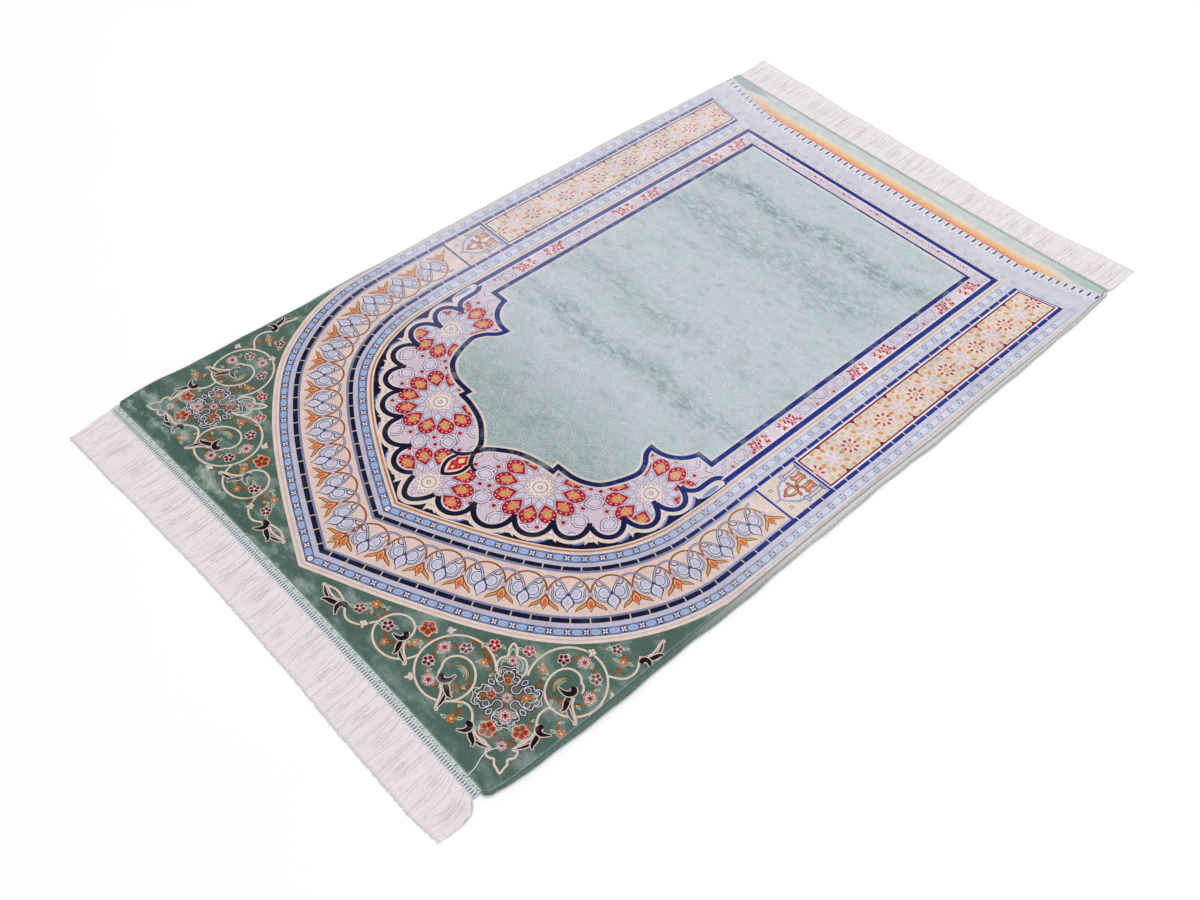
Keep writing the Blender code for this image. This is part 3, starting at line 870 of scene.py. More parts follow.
def spiral(centre, first, hand, radii, step=2.6):
    """A line that winds about a centre. The radii are those at each quarter turn."""
    quarters = np.linspace(0, len(radii) - 1, (len(radii) - 1) * 14 + 1)
    rows = smooth(np.stack([np.arange(len(radii)), radii], 1), 0.06)
    radius = np.interp(quarters, rows[:, 0], rows[:, 1])
    angle = math.radians(first) + hand * quarters * math.pi / 2
    return resample(np.stack([centre[0] + radius * np.cos(angle), centre[1] + radius * np.sin(angle)], 1),
                    step)


def flower(x, y, radius, kind):
    """Round petals in a darker or a paler edge, each with a vein, about a ringed heart."""
    edge, petal, vein, heart, count = FLOWER_KINDS[kind]
    turn = 23 + 11 * (x % 3)
    if kind in ("orange", "pink"):
        for px, py in oval(x, y, radius * 0.60, count=count, turn=turn):
            paint_both(oval(px, py, radius * 0.53, count=9), "flower_rim")
    for share, dye, points in ((0.46, edge, 9), (0.33, petal, 8)):
        for px, py in oval(x, y, radius * 0.60, count=count, turn=turn):
            paint_both(oval(px, py, radius * share, count=points), dye)
    for px, py in oval(x, y, radius * 0.48, count=count, turn=turn):
        paint_both(oval(px, py, radius * 0.15, count=5), vein)
    paint_both(oval(x, y, radius * 0.34, count=9),
               "stem_dark" if kind == "orange" else edge if kind == "pink" else petal)
    paint_both(oval(x, y, radius * 0.22, count=7), heart)


def sprig(x, y, degrees, size=1.0):
    """A small green leaf with a pale edge."""
    shape = np.array([(0, 0), (2.6, 1.9), (5.4, 1.5), (8.4, 0), (5.4, -1.5), (2.6, -1.9)]) * size
    for share, dye in ((1.2, "leaf_pale"), (0.62, "leaf_green")):
        paint_both(turned((shape - (4, 0)) * share + (4, 0), math.radians(degrees), (x, y)), dye)


def stem(line):
    """A knotty brown stem with buds and green leaves along it by turns."""
    line = resample(line, 1.6)
    bumps = 0.5 * np.sin(np.arange(len(line)) * 1.9)
    lined(paint_both, line, ((3.1 + bumps, "stem_dark"), (1.7 + bumps, "stem")))
    way = tangents(line)
    for k in range(3, len(line) - 2, 3):
        hand = 1 if (k // 3) % 2 else -1
        degrees = math.degrees(math.atan2(way[k, 1], way[k, 0]))
        if (k // 3) % 3:
            paint_both(leaf(turned([(0, 0), (2.4, 1.6), (4.6, 2.0), (6.4, 1.4)],
                                   math.radians(degrees + hand * 28), line[k]),
                            2.8, 0.2, 0.6), "stem")
        else:
            sprig(*line[k], degrees + hand * 62, 0.85)


# Along, aside and width: a sliver, a body that starts at a hook, and a comma that ends in the head
RUMI_PARTS = [
    [(1.0, 2.4, 1.2), (6.0, 5.2, 2.8), (10.5, 7.0, 3.2), (15.0, 7.8, 1.6)],
    [(12.2, 14.8, 1.2), (14.2, 11.6, 3.3), (18.5, 9.6, 5.2), (23.5, 8.0, 5.8), (28.6, 5.6, 4.0)],
    [(38.4, 15.8, 1.2), (34.6, 12.4, 3.2), (31.8, 8.4, 5.4), (31.6, 3.8, 6.4), (34.0, 0.8, 6.8),
     (37.6, 1.2, 6.2)],
]


def dark_leaf(x, y, end_x, end_y, hand):
    """A split leaf: three near-black strokes, each in a cream line, on one side of the scroll's own line."""
    length, angle = math.hypot(end_x - x, end_y - y), math.atan2(end_y - y, end_x - x)
    size = length / 37.0
    spine = np.array([(-2.0, -0.4), (5.0, 0.8), (12.0, 2.6), (20.0, 3.2), (27.0, 1.2)]) * (1, hand)
    spine = turned(smooth(spine, 2.0), angle, (x, y), size)
    lined(paint_both, spine, ((SCROLL_LINE + 0.8, "scroll_shade"), (SCROLL_LINE - 0.2, "cream")))
    for rows in RUMI_PARTS:
        rows = smooth(np.array(rows), 1.6)
        line = turned(rows[:, :2] * (1, hand), angle, (x, y), size)
        width = rows[:, 2] * size
        for grow, dye in ((2.7, "scroll_shade"), (2.1, "cream"), (0.0, "leaf_dark")):
            ends = unit(line[[0, -1]] - line[[1, -2]]) * grow * 0.3
            longer = np.vstack([line[:1] + ends[:1], line, line[-1:] + ends[1:]])
            paint_both(ribbon(longer, np.concatenate([width[:1], width, width[-1:]]) + grow), dye)
    head = turned([(37.0, 1.0 * hand)], angle, (x, y), size)[0]
    paint_both(oval(*head, 3.3, count=12), "leaf_dark")
    root = turned([(-1.8, 1.4 * hand)], angle, (x, y), size)[0]
    for radius, dye in ((2.9, "scroll_shade"), (2.5, "cream"), (0.9, "scroll_shade")):
        paint_both(oval(*root, radius, count=10), dye)


def white_bud(x, y, degrees):
    half = mirrored([(0, 9), (2.0, 6.0), (1.6, 3.6), (5.0, 3.0), (5.4, -0.6), (2.4, -1.4), (0, -4)])
    for share, dye in ((1.18, "scroll_shade"), (0.92, "cream"), (0.36, "leaf_pale")):
        paint_both(turned(half * share, math.radians(degrees - 90), (x, y)), dye)


# Loops of the medallion's line in one quarter: centre, radius, and first and last angle
MEDALLION_LOOPS = ((19.0, 19.0, 6.4, -100, 190), (9.4, 22.4, 3.6, 30, 300), (22.4, 9.4, 3.6, -210, 60),
                   (27.0, 19.0, 3.4, -80, 170), (19.0, 27.0, 3.4, -80, 170))


def medallion(x, y):
    """A squarish cloud of one knotted pale line inside dark, with a loop in each side and stems inside."""
    eighth = [(2.6, 9.0), (5.6, 13.0), (4.2, 18.0), (5.4, 25.0), (9.4, 30.6), (14.0, 28.6), (17.2, 32.6),
              (23.0, 32.6), (25.0, 28.0)]
    quarter = eighth + [(b, a) for a, b in eighth[-2::-1]]
    ground = [(0, 16), (9, 28), (24, 30), (29, 26), (28, 9), (16, 0)]
    for k in range(4):
        paint_both(turned(ground + [(0, 0)], -k * math.pi / 2, (x, y)), "cloud_ground")
        stem(turned(smooth([(2, 2), (8, 13), (17, 16), (25, 24)]), -k * math.pi / 2, (x, y)))
    line = []
    for k in range(4):
        line += list(turned(quarter, -k * math.pi / 2, (x, y)))
    line = smooth(line, 1.8, closed=True)
    shapes = [np.vstack([line, line[:2]])]
    knot = smooth([(0, 31.0), (-3.0, 27.4), (0, 22.0), (3.0, 27.4), (0, 31.0)], 2)
    for k in range(4):
        turn_by = -k * math.pi / 2
        for cx, cy, radius, first, last in MEDALLION_LOOPS:
            shapes.append(turned(arc(cx, cy, radius, first, last, 24), turn_by, (x, y)))
        shapes.append(turned(knot, turn_by, (x, y)))
    for width, dye in ((3.7, "cloud_dark"), (1.1, "cloud_pale")):
        for shape in shapes:
            paint_both(ribbon(shape, width), dye)


def inner_curl(x, y, first, hand):
    """What fills a scroll: a gold crescent, a dark one and a pale green leaf, on a bit of stem."""
    aside = math.radians(first - hand * 67)
    x, y = x + 9.5 * math.cos(aside), y + 9.5 * math.sin(aside)
    stem(arc(x, y, 15.0, first - hand * 56, first - hand * 122, 12))
    for radius, width, dye, begin, end in ((14.4, 4.2, "stem_dark", -48, 104),
                                           (14.7, 1.7, "flower_gold", -34, 90),
                                           (12.8, 1.4, "leaf_pale", -30, 92),
                                           (9.6, 3.0, "leaf_pale", -10, 84), (9.6, 1.4, "leaf_green", 0, 76)):
        paint_both(leaf(arc(x, y, radius, first + hand * begin, first + hand * end, 12), width, 0.15, 0.5),
                   dye)


def corners():
    """Cream scrolls that wind out of a corner medallion, with flowering stems inside them."""
    lines = [spiral(*scroll) for scroll in SCROLLS] + [smooth(link) for link in SCROLL_LINKS]
    for (x, y), way, half in BRACKETS:
        half = np.array(half)
        lines.append(smooth(np.vstack([half[::-1], half[1:, ::-1]]) * way + (x, y), 2.0))
    tip, inner = np.array(BRACKETS[1][0]), np.array(TREFOIL)
    inner = (np.vstack([inner[::-1], inner[1:, ::-1]]) - 18) * 0.72 + tip + 18
    paint_both(ribbon(smooth(inner, 2.0), 1.5), "leaf_pale")
    for points in STEMS:
        stem(smooth(points))
    blooms = []
    for centre, first, hand, _ in SCROLLS[:2]:
        stem(spiral(centre, first + hand * 330, hand * -1, (31.0, 29.5, 29.5, 31.0)))
        inner_curl(*centre, first, hand)
        for k, kind in enumerate(RING_FLOWERS):
            angle = math.radians(first + hand * (213 - 49 * k))
            reach = 30.0 if k < 4 else 35.0
            px, py = centre[0] + reach * math.cos(angle), centre[1] + reach * math.sin(angle)
            for turn in (60, 200):
                sprig(px, py, math.degrees(angle) + turn, 1.1)
            blooms.append((px, py, 7.6 if kind != "gold" else 6.0, kind))
    medallion(306.1, 508.5)
    for width, dye in ((SCROLL_LINE + 1.0, "scroll_shade"), (SCROLL_LINE, "cream")):
        for line in lines:
            paint_both(ribbon(line, width), dye)
    for k, (x, y, radius, kind) in enumerate(FLOWERS):
        if radius > 5.7:
            sprig(x + radius * 0.6, y - radius * 0.6, -50 + 40 * (k % 3))
            sprig(x - radius * 0.6, y + radius * 0.5, 130 + 35 * (k % 2))
    for row in blooms + FLOWERS:
        flower(*row)
    for row in WHITE_BUDS:
        white_bud(*row)
    for row in DARK_LEAVES:
        dark_leaf(*row)


# ---------------------------------------------------------------- foot
# Where the pile ends: its middle, how far it falls at the sides, and half its width
FOOT_END, FOOT_BOW, FOOT_HALF = -608.8, 6.0, 396.0
HEM_PITCH = 3.1
FOOT_ROW = -518.6                   # the middle of the row of flowers
FOOT_AREA = [(0, -506.0), (283.0, -506.0), (291.0, -510.0), (368.0, -525.6), (380, -540), (405, -545),
             (405, PAST_FOOT), (0, PAST_FOOT)]


def foot_strip(near, far, first, last, dye, taper=1.0):
    """A stripe beside the ticks, whose outer edge comes in to its inner one at the last."""
    x = np.linspace(first, last, 24)
    away = near + (far - near) * ease((last - x) / taper)
    paint_both(np.vstack([np.stack([x, foot_low(x) - near], 1), np.stack([x, foot_low(x) - away], 1)[::-1]]),
               dye)


def foot_flower(x, y, slope):
    way = unit(np.array([1.0, slope]))
    for radius, dye, count in ((5.0, "foot_ring", 10), (3.9, "foot_pale", 10), (1.9, "foot_ring", 6)):
        paint_both(oval(x, y, radius, count=count), dye)
    lozenge = np.array([(-4.5, 0), (0, 2.4), (4.5, 0), (0, -2.4)])
    paint_both(lozenge @ np.array([way, left_of(way)]) + (x, y) + way * 11.9, "foot_blue")


def foot():
    """Pale ground with flowers, ticks, a fading orange stripe, a grey-green end with a painted shade band at
    one far corner, and a stitched hem.
    """
    paint_both(FOOT_AREA, "foot_pale")
    paint_both([(291.0, -507.6), (369, -523.2), (369, -525.4), (291.0, -509.8)], "navy")
    foot_strip(31.0, 90.0, 0, 405, "foot_green")
    foot_strip(9.0, 90.0, 352, 405, "foot_green")
    for first, near, far, dye in ((266, 30, 46, "foot_hem"), (300, 24, 40, "foot_moss")):
        wedge = [(first, foot_low(first) - (near + far) / 2), (345, foot_low(345) - near + 8),
                 (404, foot_low(404) - 9), (404, foot_low(404) - far), (345, foot_low(345) - far)]
        paint_both(wedge, dye)
    # Painted shade: a darker band towards the far corner of the foot, on one side only
    paint([(306, foot_low(306) - 38), (345, foot_low(345) - 14), (404, foot_low(404) - 10),
           (404, foot_low(404) - 30), (350, foot_low(350) - 36)], "foot_deep")
    foot_strip(8.4, 29.0, 0, 366, "foot_blush", 90.0)
    for dye, near, far, reach in (("foot_peach", 7.2, 31.0, 356), ("foot_amber", 7.2, 25.0, 348),
                                  ("foot_gold", 7.2, 19.5, 338), ("foot_orange", 7.0, 14.0, 322),
                                  ("foot_red", 6.8, 9.4, 298)):
        foot_strip(near, far, 0, reach, dye, 60.0)
    halo = mirrored([(0, 12.5), (4.6, 3.0), (4.6, -7), (3.2, -7), (3.2, 2.4), (0, 9.0)])
    tick = np.array([(-1.3, -5.8), (-1.4, 3.0), (-0.4, 5.8), (1.2, 3.4), (1.3, -5.4)])
    for x in np.concatenate([np.arange(6.7, 268, 13.35), np.arange(280.2, 396, 12.05)]):
        paint_both(halo + (x, foot_low(x)), "white")
        paint_both(tick + (x, foot_low(x)), "tick_navy")
    for x in np.arange(0, 275, 23.9):
        foot_flower(x, FOOT_ROW, 0.0)
    for k in range(5):
        foot_flower(283.0 + 24.4 * k, FOOT_ROW - 3.3 * k - (3.5 if k == 4 else 0), -0.16)
    for x in np.arange(6, 268, 12.0):
        paint_both(box(x - 4, -511.0, x + 4, -508.6), "gold_line")
    for x in np.arange(1.5, 400, HEM_PITCH):
        hem = FOOT_END - FOOT_BOW * (x / FOOT_HALF) ** 2
        paint_both([(x - 1.5, hem + 1.0), (x + 0.1, hem + 1.0), (x + 1.5, hem + 5.4), (x - 0.1, hem + 5.4)],
                   "foot_dash")


# ---------------------------------------------------------------- panels of the side borders
PANEL_MIDDLE = 329.8                # across, as the two below are
PANEL_LEFT, PANEL_RIGHT = 296.9, 362.6
PANEL_PITCH = 70.6                  # from one rosette to the next


def small_panel():
    """A small arch on two columns with a lily in it."""
    base = 2.0
    for y0, y1, dye in ((71.9, 75.9, "lilac_line"), (2.5, 71.9, "panel"), (72.9, 75.7, "navy"),
                        (1.2, 5.0, "lilac_line")):
        paint_both(box(PANEL_LEFT, y0, PANEL_RIGHT, y1), dye)

    def put(points, dye):
        paint_both(np.asarray(points, float) + (PANEL_MIDDLE, base), dye)

    put(mirrored([(0, 57.5), (8, 51.5), (15, 45.5), (18.5, 38), (19.8, 32), (20.2, 3.5)]), "panel_rose")
    for m in (-1, 1):
        line = smooth(sided([(0, 60.5), (8.0, 54), (15.5, 47.5), (19.5, 39.5), (20.5, 33)], m))
        lined(put, line, ((3.0, "arch_line"), (1.2, "arch_pale")))
        put(sided([(16.5, 34.5), (29.0, 34.5), (27.5, 28.5), (18.0, 28.5)], m), "arch_line")
        put(sided([(18.0, 33.3), (27.5, 33.3), (26.5, 30.0), (19.0, 30.0)], m), "arch_pale")
        for across in (19.6, 24.6):
            put(box(m * across - 0.8, 4.5, m * across + 0.8, 28.5), "arch_line")
        put(sided([(17.5, 4.8), (27.5, 4.8), (28.5, 2.2), (16.5, 2.2)], m), "arch_line")
        put(oval(m * 18.4, 58.5, 3.0, count=12), "brown")
        put(oval(m * 18.4, 58.5, 1.8, count=10), "panel")
        petal = [(0, 27), (5, 30), (12.5, 31.5), (13.5, 36), (9, 36), (7.5, 43), (3.5, 49.5), (0, 52.5)]
        skirt = [(0.5, 27.5), (6, 22.5), (13, 24.5), (17.5, 22), (14.5, 15), (17, 6.5), (10, 6), (3.5, 6.5)]
        for shape in (petal, skirt):
            shape = smooth(sided(shape, m), 3, closed=True)
            nested(put, shape, shape.mean(0), ((1.06, "lily_line"), (0.90, "lily"), (0.48, "apricot")))
        for line in ([(1, 28), (6, 24), (8, 15), (5, 8), (1, 5)], [(1, 28), (6, 33), (7, 41), (2.5, 49)]):
            put(ribbon(smooth(sided(line, m)), 1.3), "lily_line")
        put(smooth(sided([(9.0, 9), (12.0, 16), (11.0, 20), (8.5, 15)], m), 3, closed=True), "apricot")
    for y, reach in ((39.5, 6.8), (16.5, 8.0)):
        put(oval(0, y, 4.1, reach + 1.2, 14), "lily_line")
        put(oval(0, y, 3.1, reach, 14), "white")
    put(ribbon([(0, 60), (0, 68.5)], 1.6), "arch_line")
    paint_both(box(PANEL_LEFT, -1.8, PANEL_RIGHT, 1.4), "navy")


def long_panel():
    """Rosettes by turns with rings of red dots, on cream in a maroon line."""
    def frame_of(inset, dye):
        x0, x1, k = PANEL_LEFT + inset, PANEL_RIGHT - inset, max(inset - 0.8, 0)
        paint_both([(x0, -1.8 - k), (x1, -1.8 - k), (x1, panel_low(x1) + 1.5 + k),
                    (x0, panel_low(x0) + 1.5 + k)], dye)

    for inset, dye in ((0.0, "white"), (2.6, "maroon_line"), (5.2, "panel")):
        frame_of(inset, dye)
    cx = PANEL_MIDDLE
    edge = (PANEL_RIGHT - PANEL_LEFT) / 2 - 7.2

    def put(points, dye, top=-6.5, room=4.5):
        shape = np.asarray(points, float)
        middle = shape.mean(0)
        if panel_low(middle[0]) + room < middle[1] < top:
            paint_both(shape, dye)

    petal = np.array([(0, 3.0), (-2.4, 9.0), (0, 14.8), (2.4, 9.0)])
    for y in np.arange(-42.4 + PANEL_PITCH, -540, -PANEL_PITCH):
        for k in range(12):
            put(turned(petal, math.radians(30 * k), (cx, y)), "panel_rose" if k % 2 else "pink")
        put(oval(cx, y, 4.6, count=10), "panel_rose")
        put(oval(cx, y, 2.0, count=8), "apricot")
        for k, (px, py) in enumerate(oval(cx, y, 19.0, 18.4, 16, 90)):
            if k % 2:
                put(oval(px, py, 2.0, 2.8, 7, 45), "sage", room=6)
            else:
                blob = turned(oval(0, 0, 4.6, 3.0, 9), math.radians(90 + 22.5 * k), (px, py))
                put(blob, "orange" if k % 8 == 4 else "amber", room=6)
        for m in (-1, 1):
            notch = [(edge + 2.0, -4.0), (edge + 2.0, 4.0), (edge - 3.4, 0)]
            put(np.array(notch) * (m, 1) + (cx, y), "maroon_line")
            for along, dye in ((8.6, "sage"), (-8.6, "sage"), (15.4, "amber"), (-15.4, "amber")):
                put(oval(cx + m * (edge - 1.2), y + along, 2.6, 3.4, 8), dye, room=6)
        half = y - PANEL_PITCH / 2
        for k, (px, py) in enumerate(oval(cx, half, 9.8, count=8)):
            put(turned(oval(0, 0, 3.3, 2.0, 6), math.radians(45 * k), (px, py)),
                "crimson" if k % 4 else "maroon", top=-8)
        for m in (-1, 1):
            for across, along, dye in ((22.0, 8.5, "sage"), (22.0, -8.5, "sage"), (25.0, 0.0, "pink"),
                                       (16.5, 0.0, "apricot"), (11.5, 14.5, "apricot"),
                                       (11.5, -14.5, "apricot")):
                size = (3.2, 4.2) if dye == "sage" else (2.8, 2.8)
                put(oval(cx + m * across, half + along, *size, 8), dye, top=-8)
        put(oval(cx, half, 4.0, count=8), "amber")
        put(oval(cx, half, 1.9, count=6), "panel_rose")


# ---------------------------------------------------------------- from painted shapes to a mesh
def cloth_outline():
    """The pile cloth's own outline where it is widest, in mm, anticlockwise, read from its node."""
    low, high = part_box("pile_cloth")
    wall = [v.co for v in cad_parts["pile_cloth"].data.vertices if abs(v.co.z * 1000 - RIM) < 0.1]
    points = np.unique(np.round([(p.x * 1000, p.y * 1000) for p in wall], 3), axis=0)
    size = np.array([high.x - low.x, high.y - low.y])
    points = points[np.argsort(np.arctan2(points[:, 1] / size[1], points[:, 0] / size[0]))]
    keep = np.linalg.norm(points - np.roll(points, 1, axis=0), axis=1) > 0.05
    return points[keep]


def inset(outline, depth):
    """A closed anticlockwise outline, moved inwards."""
    before, after = unit(outline - np.roll(outline, 1, 0)), unit(np.roll(outline, -1, 0) - outline)
    inward = unit(left_of(before) + left_of(after))
    return outline + inward * (depth / np.maximum(0.5, (inward * left_of(before)).sum(1)))[:, None]


def lift(x, y):
    """How far the cloth stands off the floor, in mm: a few low waves, mostly along its long edges."""
    edge = ease((np.abs(x) - 220.0) / 170.0)
    wave = 0.5 + 0.5 * np.sin(y / 74.0 + x / 260.0 + 0.6) * np.cos(y / 191.0 + 0.4)
    return wave * (0.25 + 1.15 * edge)


def winding(points, outline, rank, sorted_y):
    """How often a closed outline runs round each point. Only points with the same y as an edge are tested."""
    count = np.zeros(len(points), np.int16)
    a, b = outline, np.roll(outline, -1, 0)
    low, high = np.minimum(a[:, 1], b[:, 1]), np.maximum(a[:, 1], b[:, 1])
    first, last = np.searchsorted(sorted_y, low), np.searchsorted(sorted_y, high)
    for i in np.nonzero(last > first)[0]:
        rows = rank[first[i]:last[i]]
        p = points[rows]
        (ax, ay), (bx, by) = a[i], b[i]
        cross = ax + (p[:, 1] - ay) * (bx - ax) / (by - ay)
        count[rows[p[:, 0] < cross]] += 1 if by > ay else -1
    return count


def last_painted(points, shapes, masks):
    """For each point the number of the last shape that covers it."""
    rank = np.argsort(points[:, 1], kind="stable")
    sorted_y = points[rank, 1]
    top = np.full(len(points), -1)
    inside_of = {name: winding(points, outline, rank, sorted_y) != 0 for name, outline in masks.items()}
    for number, (outline, _, within) in enumerate(shapes):
        rows = rank[slice(*np.searchsorted(sorted_y, [outline[:, 1].min(), outline[:, 1].max()]))]
        rows = rows[(points[rows, 0] > outline[:, 0].min()) & (points[rows, 0] < outline[:, 0].max())]
        if not len(rows):
            continue
        some = points[rows]
        order = np.argsort(some[:, 1], kind="stable")
        inside = winding(some, outline, order, some[order, 1]) != 0
        rows = rows[inside]
        if within:
            rows = rows[inside_of[within][rows]]
        top[rows] = number
    return top


def linear(colour):
    c = np.asarray(colour, float) / 255
    return np.where(c <= 0.04045, c / 12.92, ((c + 0.055) / 1.055) ** 2.4)


# Bands of painted shade where the pile has been turned: the middle and half width along, how strong, and both
# ends across in metres
NAP_SHADE_BANDS = [(48.0, 22.0, 0.75, -0.24, 0.20), (-52.0, 24.0, 0.55, -0.05, 0.24),
           (-272.0, 40.0, 0.6, -0.22, 0.26), (-362.0, 20.0, 1.0, -0.24, 0.25), (215.0, 60.0, 0.25, -0.2, 0.2)]


def nap_shade_at(x, y):
    """Painted shade where feet and hands have turned the pile: 0 as woven, 1 turned and darkest."""
    total = np.zeros(len(x))
    for middle, half, strength, left, right in NAP_SHADE_BANDS:
        across = ease((x / 1000 - left) / 0.06) * ease((right - x / 1000) / 0.06)
        total += strength * np.exp(-((y - middle - 8 * np.sin(x / 31)) / half) ** 2) * (0.35 + 0.65 * across)
    return np.clip(total, 0, 1)


def triangulate(points, edges, outline):
    """Triangles of a flat cloth, turned upwards, that follow all its edges and stay inside its outline."""
    low, high = outline.min(0), outline.max(0)
    grid = np.mgrid[low[0] + GRID / 2:high[0]:GRID, low[1] + GRID / 2:high[1]:GRID].reshape(2, -1).T
    made = delaunay_2d_cdt([Vector(p) for p in np.vstack([points, grid])], edges, [], 0, 1e-3, False)
    places = np.array([tuple(v) for v in made[0]])
    triangles = np.array([tuple(f) for f in made[2]])
    corners_of = places[triangles]
    area = np.cross(corners_of[:, 1] - corners_of[:, 0], corners_of[:, 2] - corners_of[:, 0]) / 2
    triangles[area < 0] = triangles[area < 0][:, ::-1]
    triangles = triangles[np.abs(area) > 1e-5]
    middles = places[triangles].mean(1)
    rank = np.argsort(middles[:, 1], kind="stable")
    return places, triangles[winding(middles, outline, rank, middles[rank, 1]) != 0]


def seen_edges(places, triangles, kinds):
    """The edges of the outline and between different kinds, with each straight run made one edge."""
    pairs = np.sort(np.concatenate([triangles[:, [0, 1]], triangles[:, [1, 2]], triangles[:, [2, 0]]]),
                    axis=1)
    kind = np.tile(kinds, 3)
    order = np.lexsort((pairs[:, 1], pairs[:, 0]))
    pairs, kind = pairs[order], kind[order]
    twin = np.append((pairs[1:] == pairs[:-1]).all(1), False)
    second = np.append(False, twin[:-1])
    differs = np.append(kind[1:] != kind[:-1], True)
    kept = pairs[~second & (~twin | differs)]
    beside = {}
    for a, b in kept.tolist():
        beside.setdefault(a, set()).add(b)
        beside.setdefault(b, set()).add(a)
    for corner in list(beside):
        if len(beside[corner]) != 2:
            continue
        a, b = beside[corner]
        run = places[b] - places[a]
        off = abs(run[0] * (places[corner][1] - places[a][1]) - run[1] * (places[corner][0] - places[a][0]))
        if b not in beside[a] and off < STRAIGHT * np.hypot(*run) and (places[corner] - places[a]) @ run > 0:
            beside[a].remove(corner)
            beside[b].remove(corner)
            beside[a].add(b)
            beside[b].add(a)
            del beside[corner]
    return [(a, b) for a in beside for b in beside[a] if a < b]


def pattern_mesh(outline):
    """Cuts what shows of the painted shapes out of the cloth: points in mm, and triangles."""
    points, edges = [], []
    shapes = [(lie(p), dye, within) for p, dye, within in painted]
    for shape in [p for p, _, _ in shapes] + [outline]:
        start = len(points)
        points += shape.tolist()
        edges += [(start + i, start + (i + 1) % len(shape)) for i in range(len(shape))]
    places, triangles = triangulate(points, edges, outline)
    middles = places[triangles].mean(1)
    dyes = sorted({dye for _, dye, _ in shapes})
    dye_of = np.array([dyes.index(dye) for _, dye, _ in shapes])
    tops = dye_of[last_painted(middles, shapes, {name: lie(area) for name, area in areas.items()})]
    zone_shapes = zones()
    names = sorted({name for _, name, _ in zone_shapes})
    zone_of = np.array([names.index(name) for _, name, _ in zone_shapes])
    tops = tops * len(names) + zone_of[last_painted(middles, zone_shapes, {})]
    edges = seen_edges(places, triangles, tops)
    used, local = np.unique(np.array(edges), return_inverse=True)
    return triangulate(places[used], [tuple(pair) for pair in local.reshape(-1, 2).tolist()], outline)


def zones():
    """The pieces that the pile is split into, painted one over another like the pattern."""
    shapes = [(box(-PAST_SIDE, PAST_FOOT, 0, PAST_ARCH), "pile_corner_left", None),
              (box(0, PAST_FOOT, PAST_SIDE, PAST_ARCH), "pile_corner_right", None)]
    half = band_line(BANDS[0][0])
    half = half[half[:, 1] > OUTER_END]
    half = np.vstack([half, [(half[-1, 0], OUTER_END), (0, OUTER_END)]])
    for m, side in ((-1, "left"), (1, "right")):
        shapes.append((half * (m, 1), "pile_border_" + side, None))
    shapes.append((band_area(LAST_BAND, low=-500.0), "pile_arcade", None))
    shapes.append((box(-BLUE_HALF - BLUE_REACH, BLUE_FOOT - 4, BLUE_HALF + BLUE_REACH, BLUE_TOP),
                   "pile_arcade", None))
    shapes.append((both_halves(offset_edge(field_edge(), FIELD_RIM)), "pile_field", None))
    for m in (-1, 1):
        shapes.append((sided(FOOT_AREA, m), "pile_foot", None))
    return [(lie(outline), name, within) for outline, name, within in shapes]


def build_mesh(name, verts, faces, material, smooth_faces=True):
    mesh = bpy.data.meshes.new(name)
    mesh.from_pydata(np.asarray(verts, float).tolist(), [], [tuple(int(i) for i in f) for f in faces])
    mesh.polygons.foreach_set("use_smooth", [smooth_faces] * len(mesh.polygons))
    mesh.update()
    made = bpy.data.objects.new(name, mesh)
    made.data.materials.append(material)
    bpy.context.scene.collection.objects.link(made)
    return made


def face_dyes(made, faces, colours):
    """Gives all the corners of each face its colour."""
    spread = np.repeat(np.array(colours), [len(f) for f in faces], axis=0)
    values = np.column_stack([spread, np.ones(len(spread))]).astype(np.float32)
    made.data.color_attributes.new("dye", "FLOAT_COLOR", "CORNER").data.foreach_set("color", values.ravel())


def point_values(made, name, values):
    """Gives each point a number that the material reads."""
    made.data.attributes.new(name, "FLOAT", "POINT").data.foreach_set("value", values.astype(np.float32))


RIM_PROFILE = [(0.55, 0.25), (1.05, 0.8), (1.2, 1.6), (1.2, 4.6)]      # outward, down, in mm
RIM_SHARES = (0.25, 0.5, 0.75, 0.9)                 # how much of the edge yarn shows at each step down
RIM_DYE = (158, 174, 166)
# Painted sheen: how strong the pale cast on the far foot side is, and its colour
SHEEN_VEIL, SHEEN_VEIL_DYE = 0.26, (214, 212, 222)
# How strongly each piece's pile shows worn mottling together with painted sheen and painted shade
LEAST_WEAR_AND_SHEEN = 0.12
WEAR_AND_SHEEN = {"pile_corner_left": 1.0, "pile_corner_right": 1.0, "pile_field": 1.15, "pile_foot": 0.35}


def rim_of(places, triangles):
    """Edges of the whole cloth, each with its triangle, and the outward direction at each of their points."""
    edge_of = {}
    for number, (a, b, c) in enumerate(triangles):
        for p, q in ((a, b), (b, c), (c, a)):
            if edge_of.pop((q, p), None) is None:
                edge_of[(p, q)] = number
    out = {}
    for p, q in edge_of:
        way = unit(places[q] - places[p])
        for point in (p, q):
            out[point] = out.get(point, 0) + np.array([way[1], -way[0]])
    return edge_of, {point: unit(total) for point, total in out.items()}


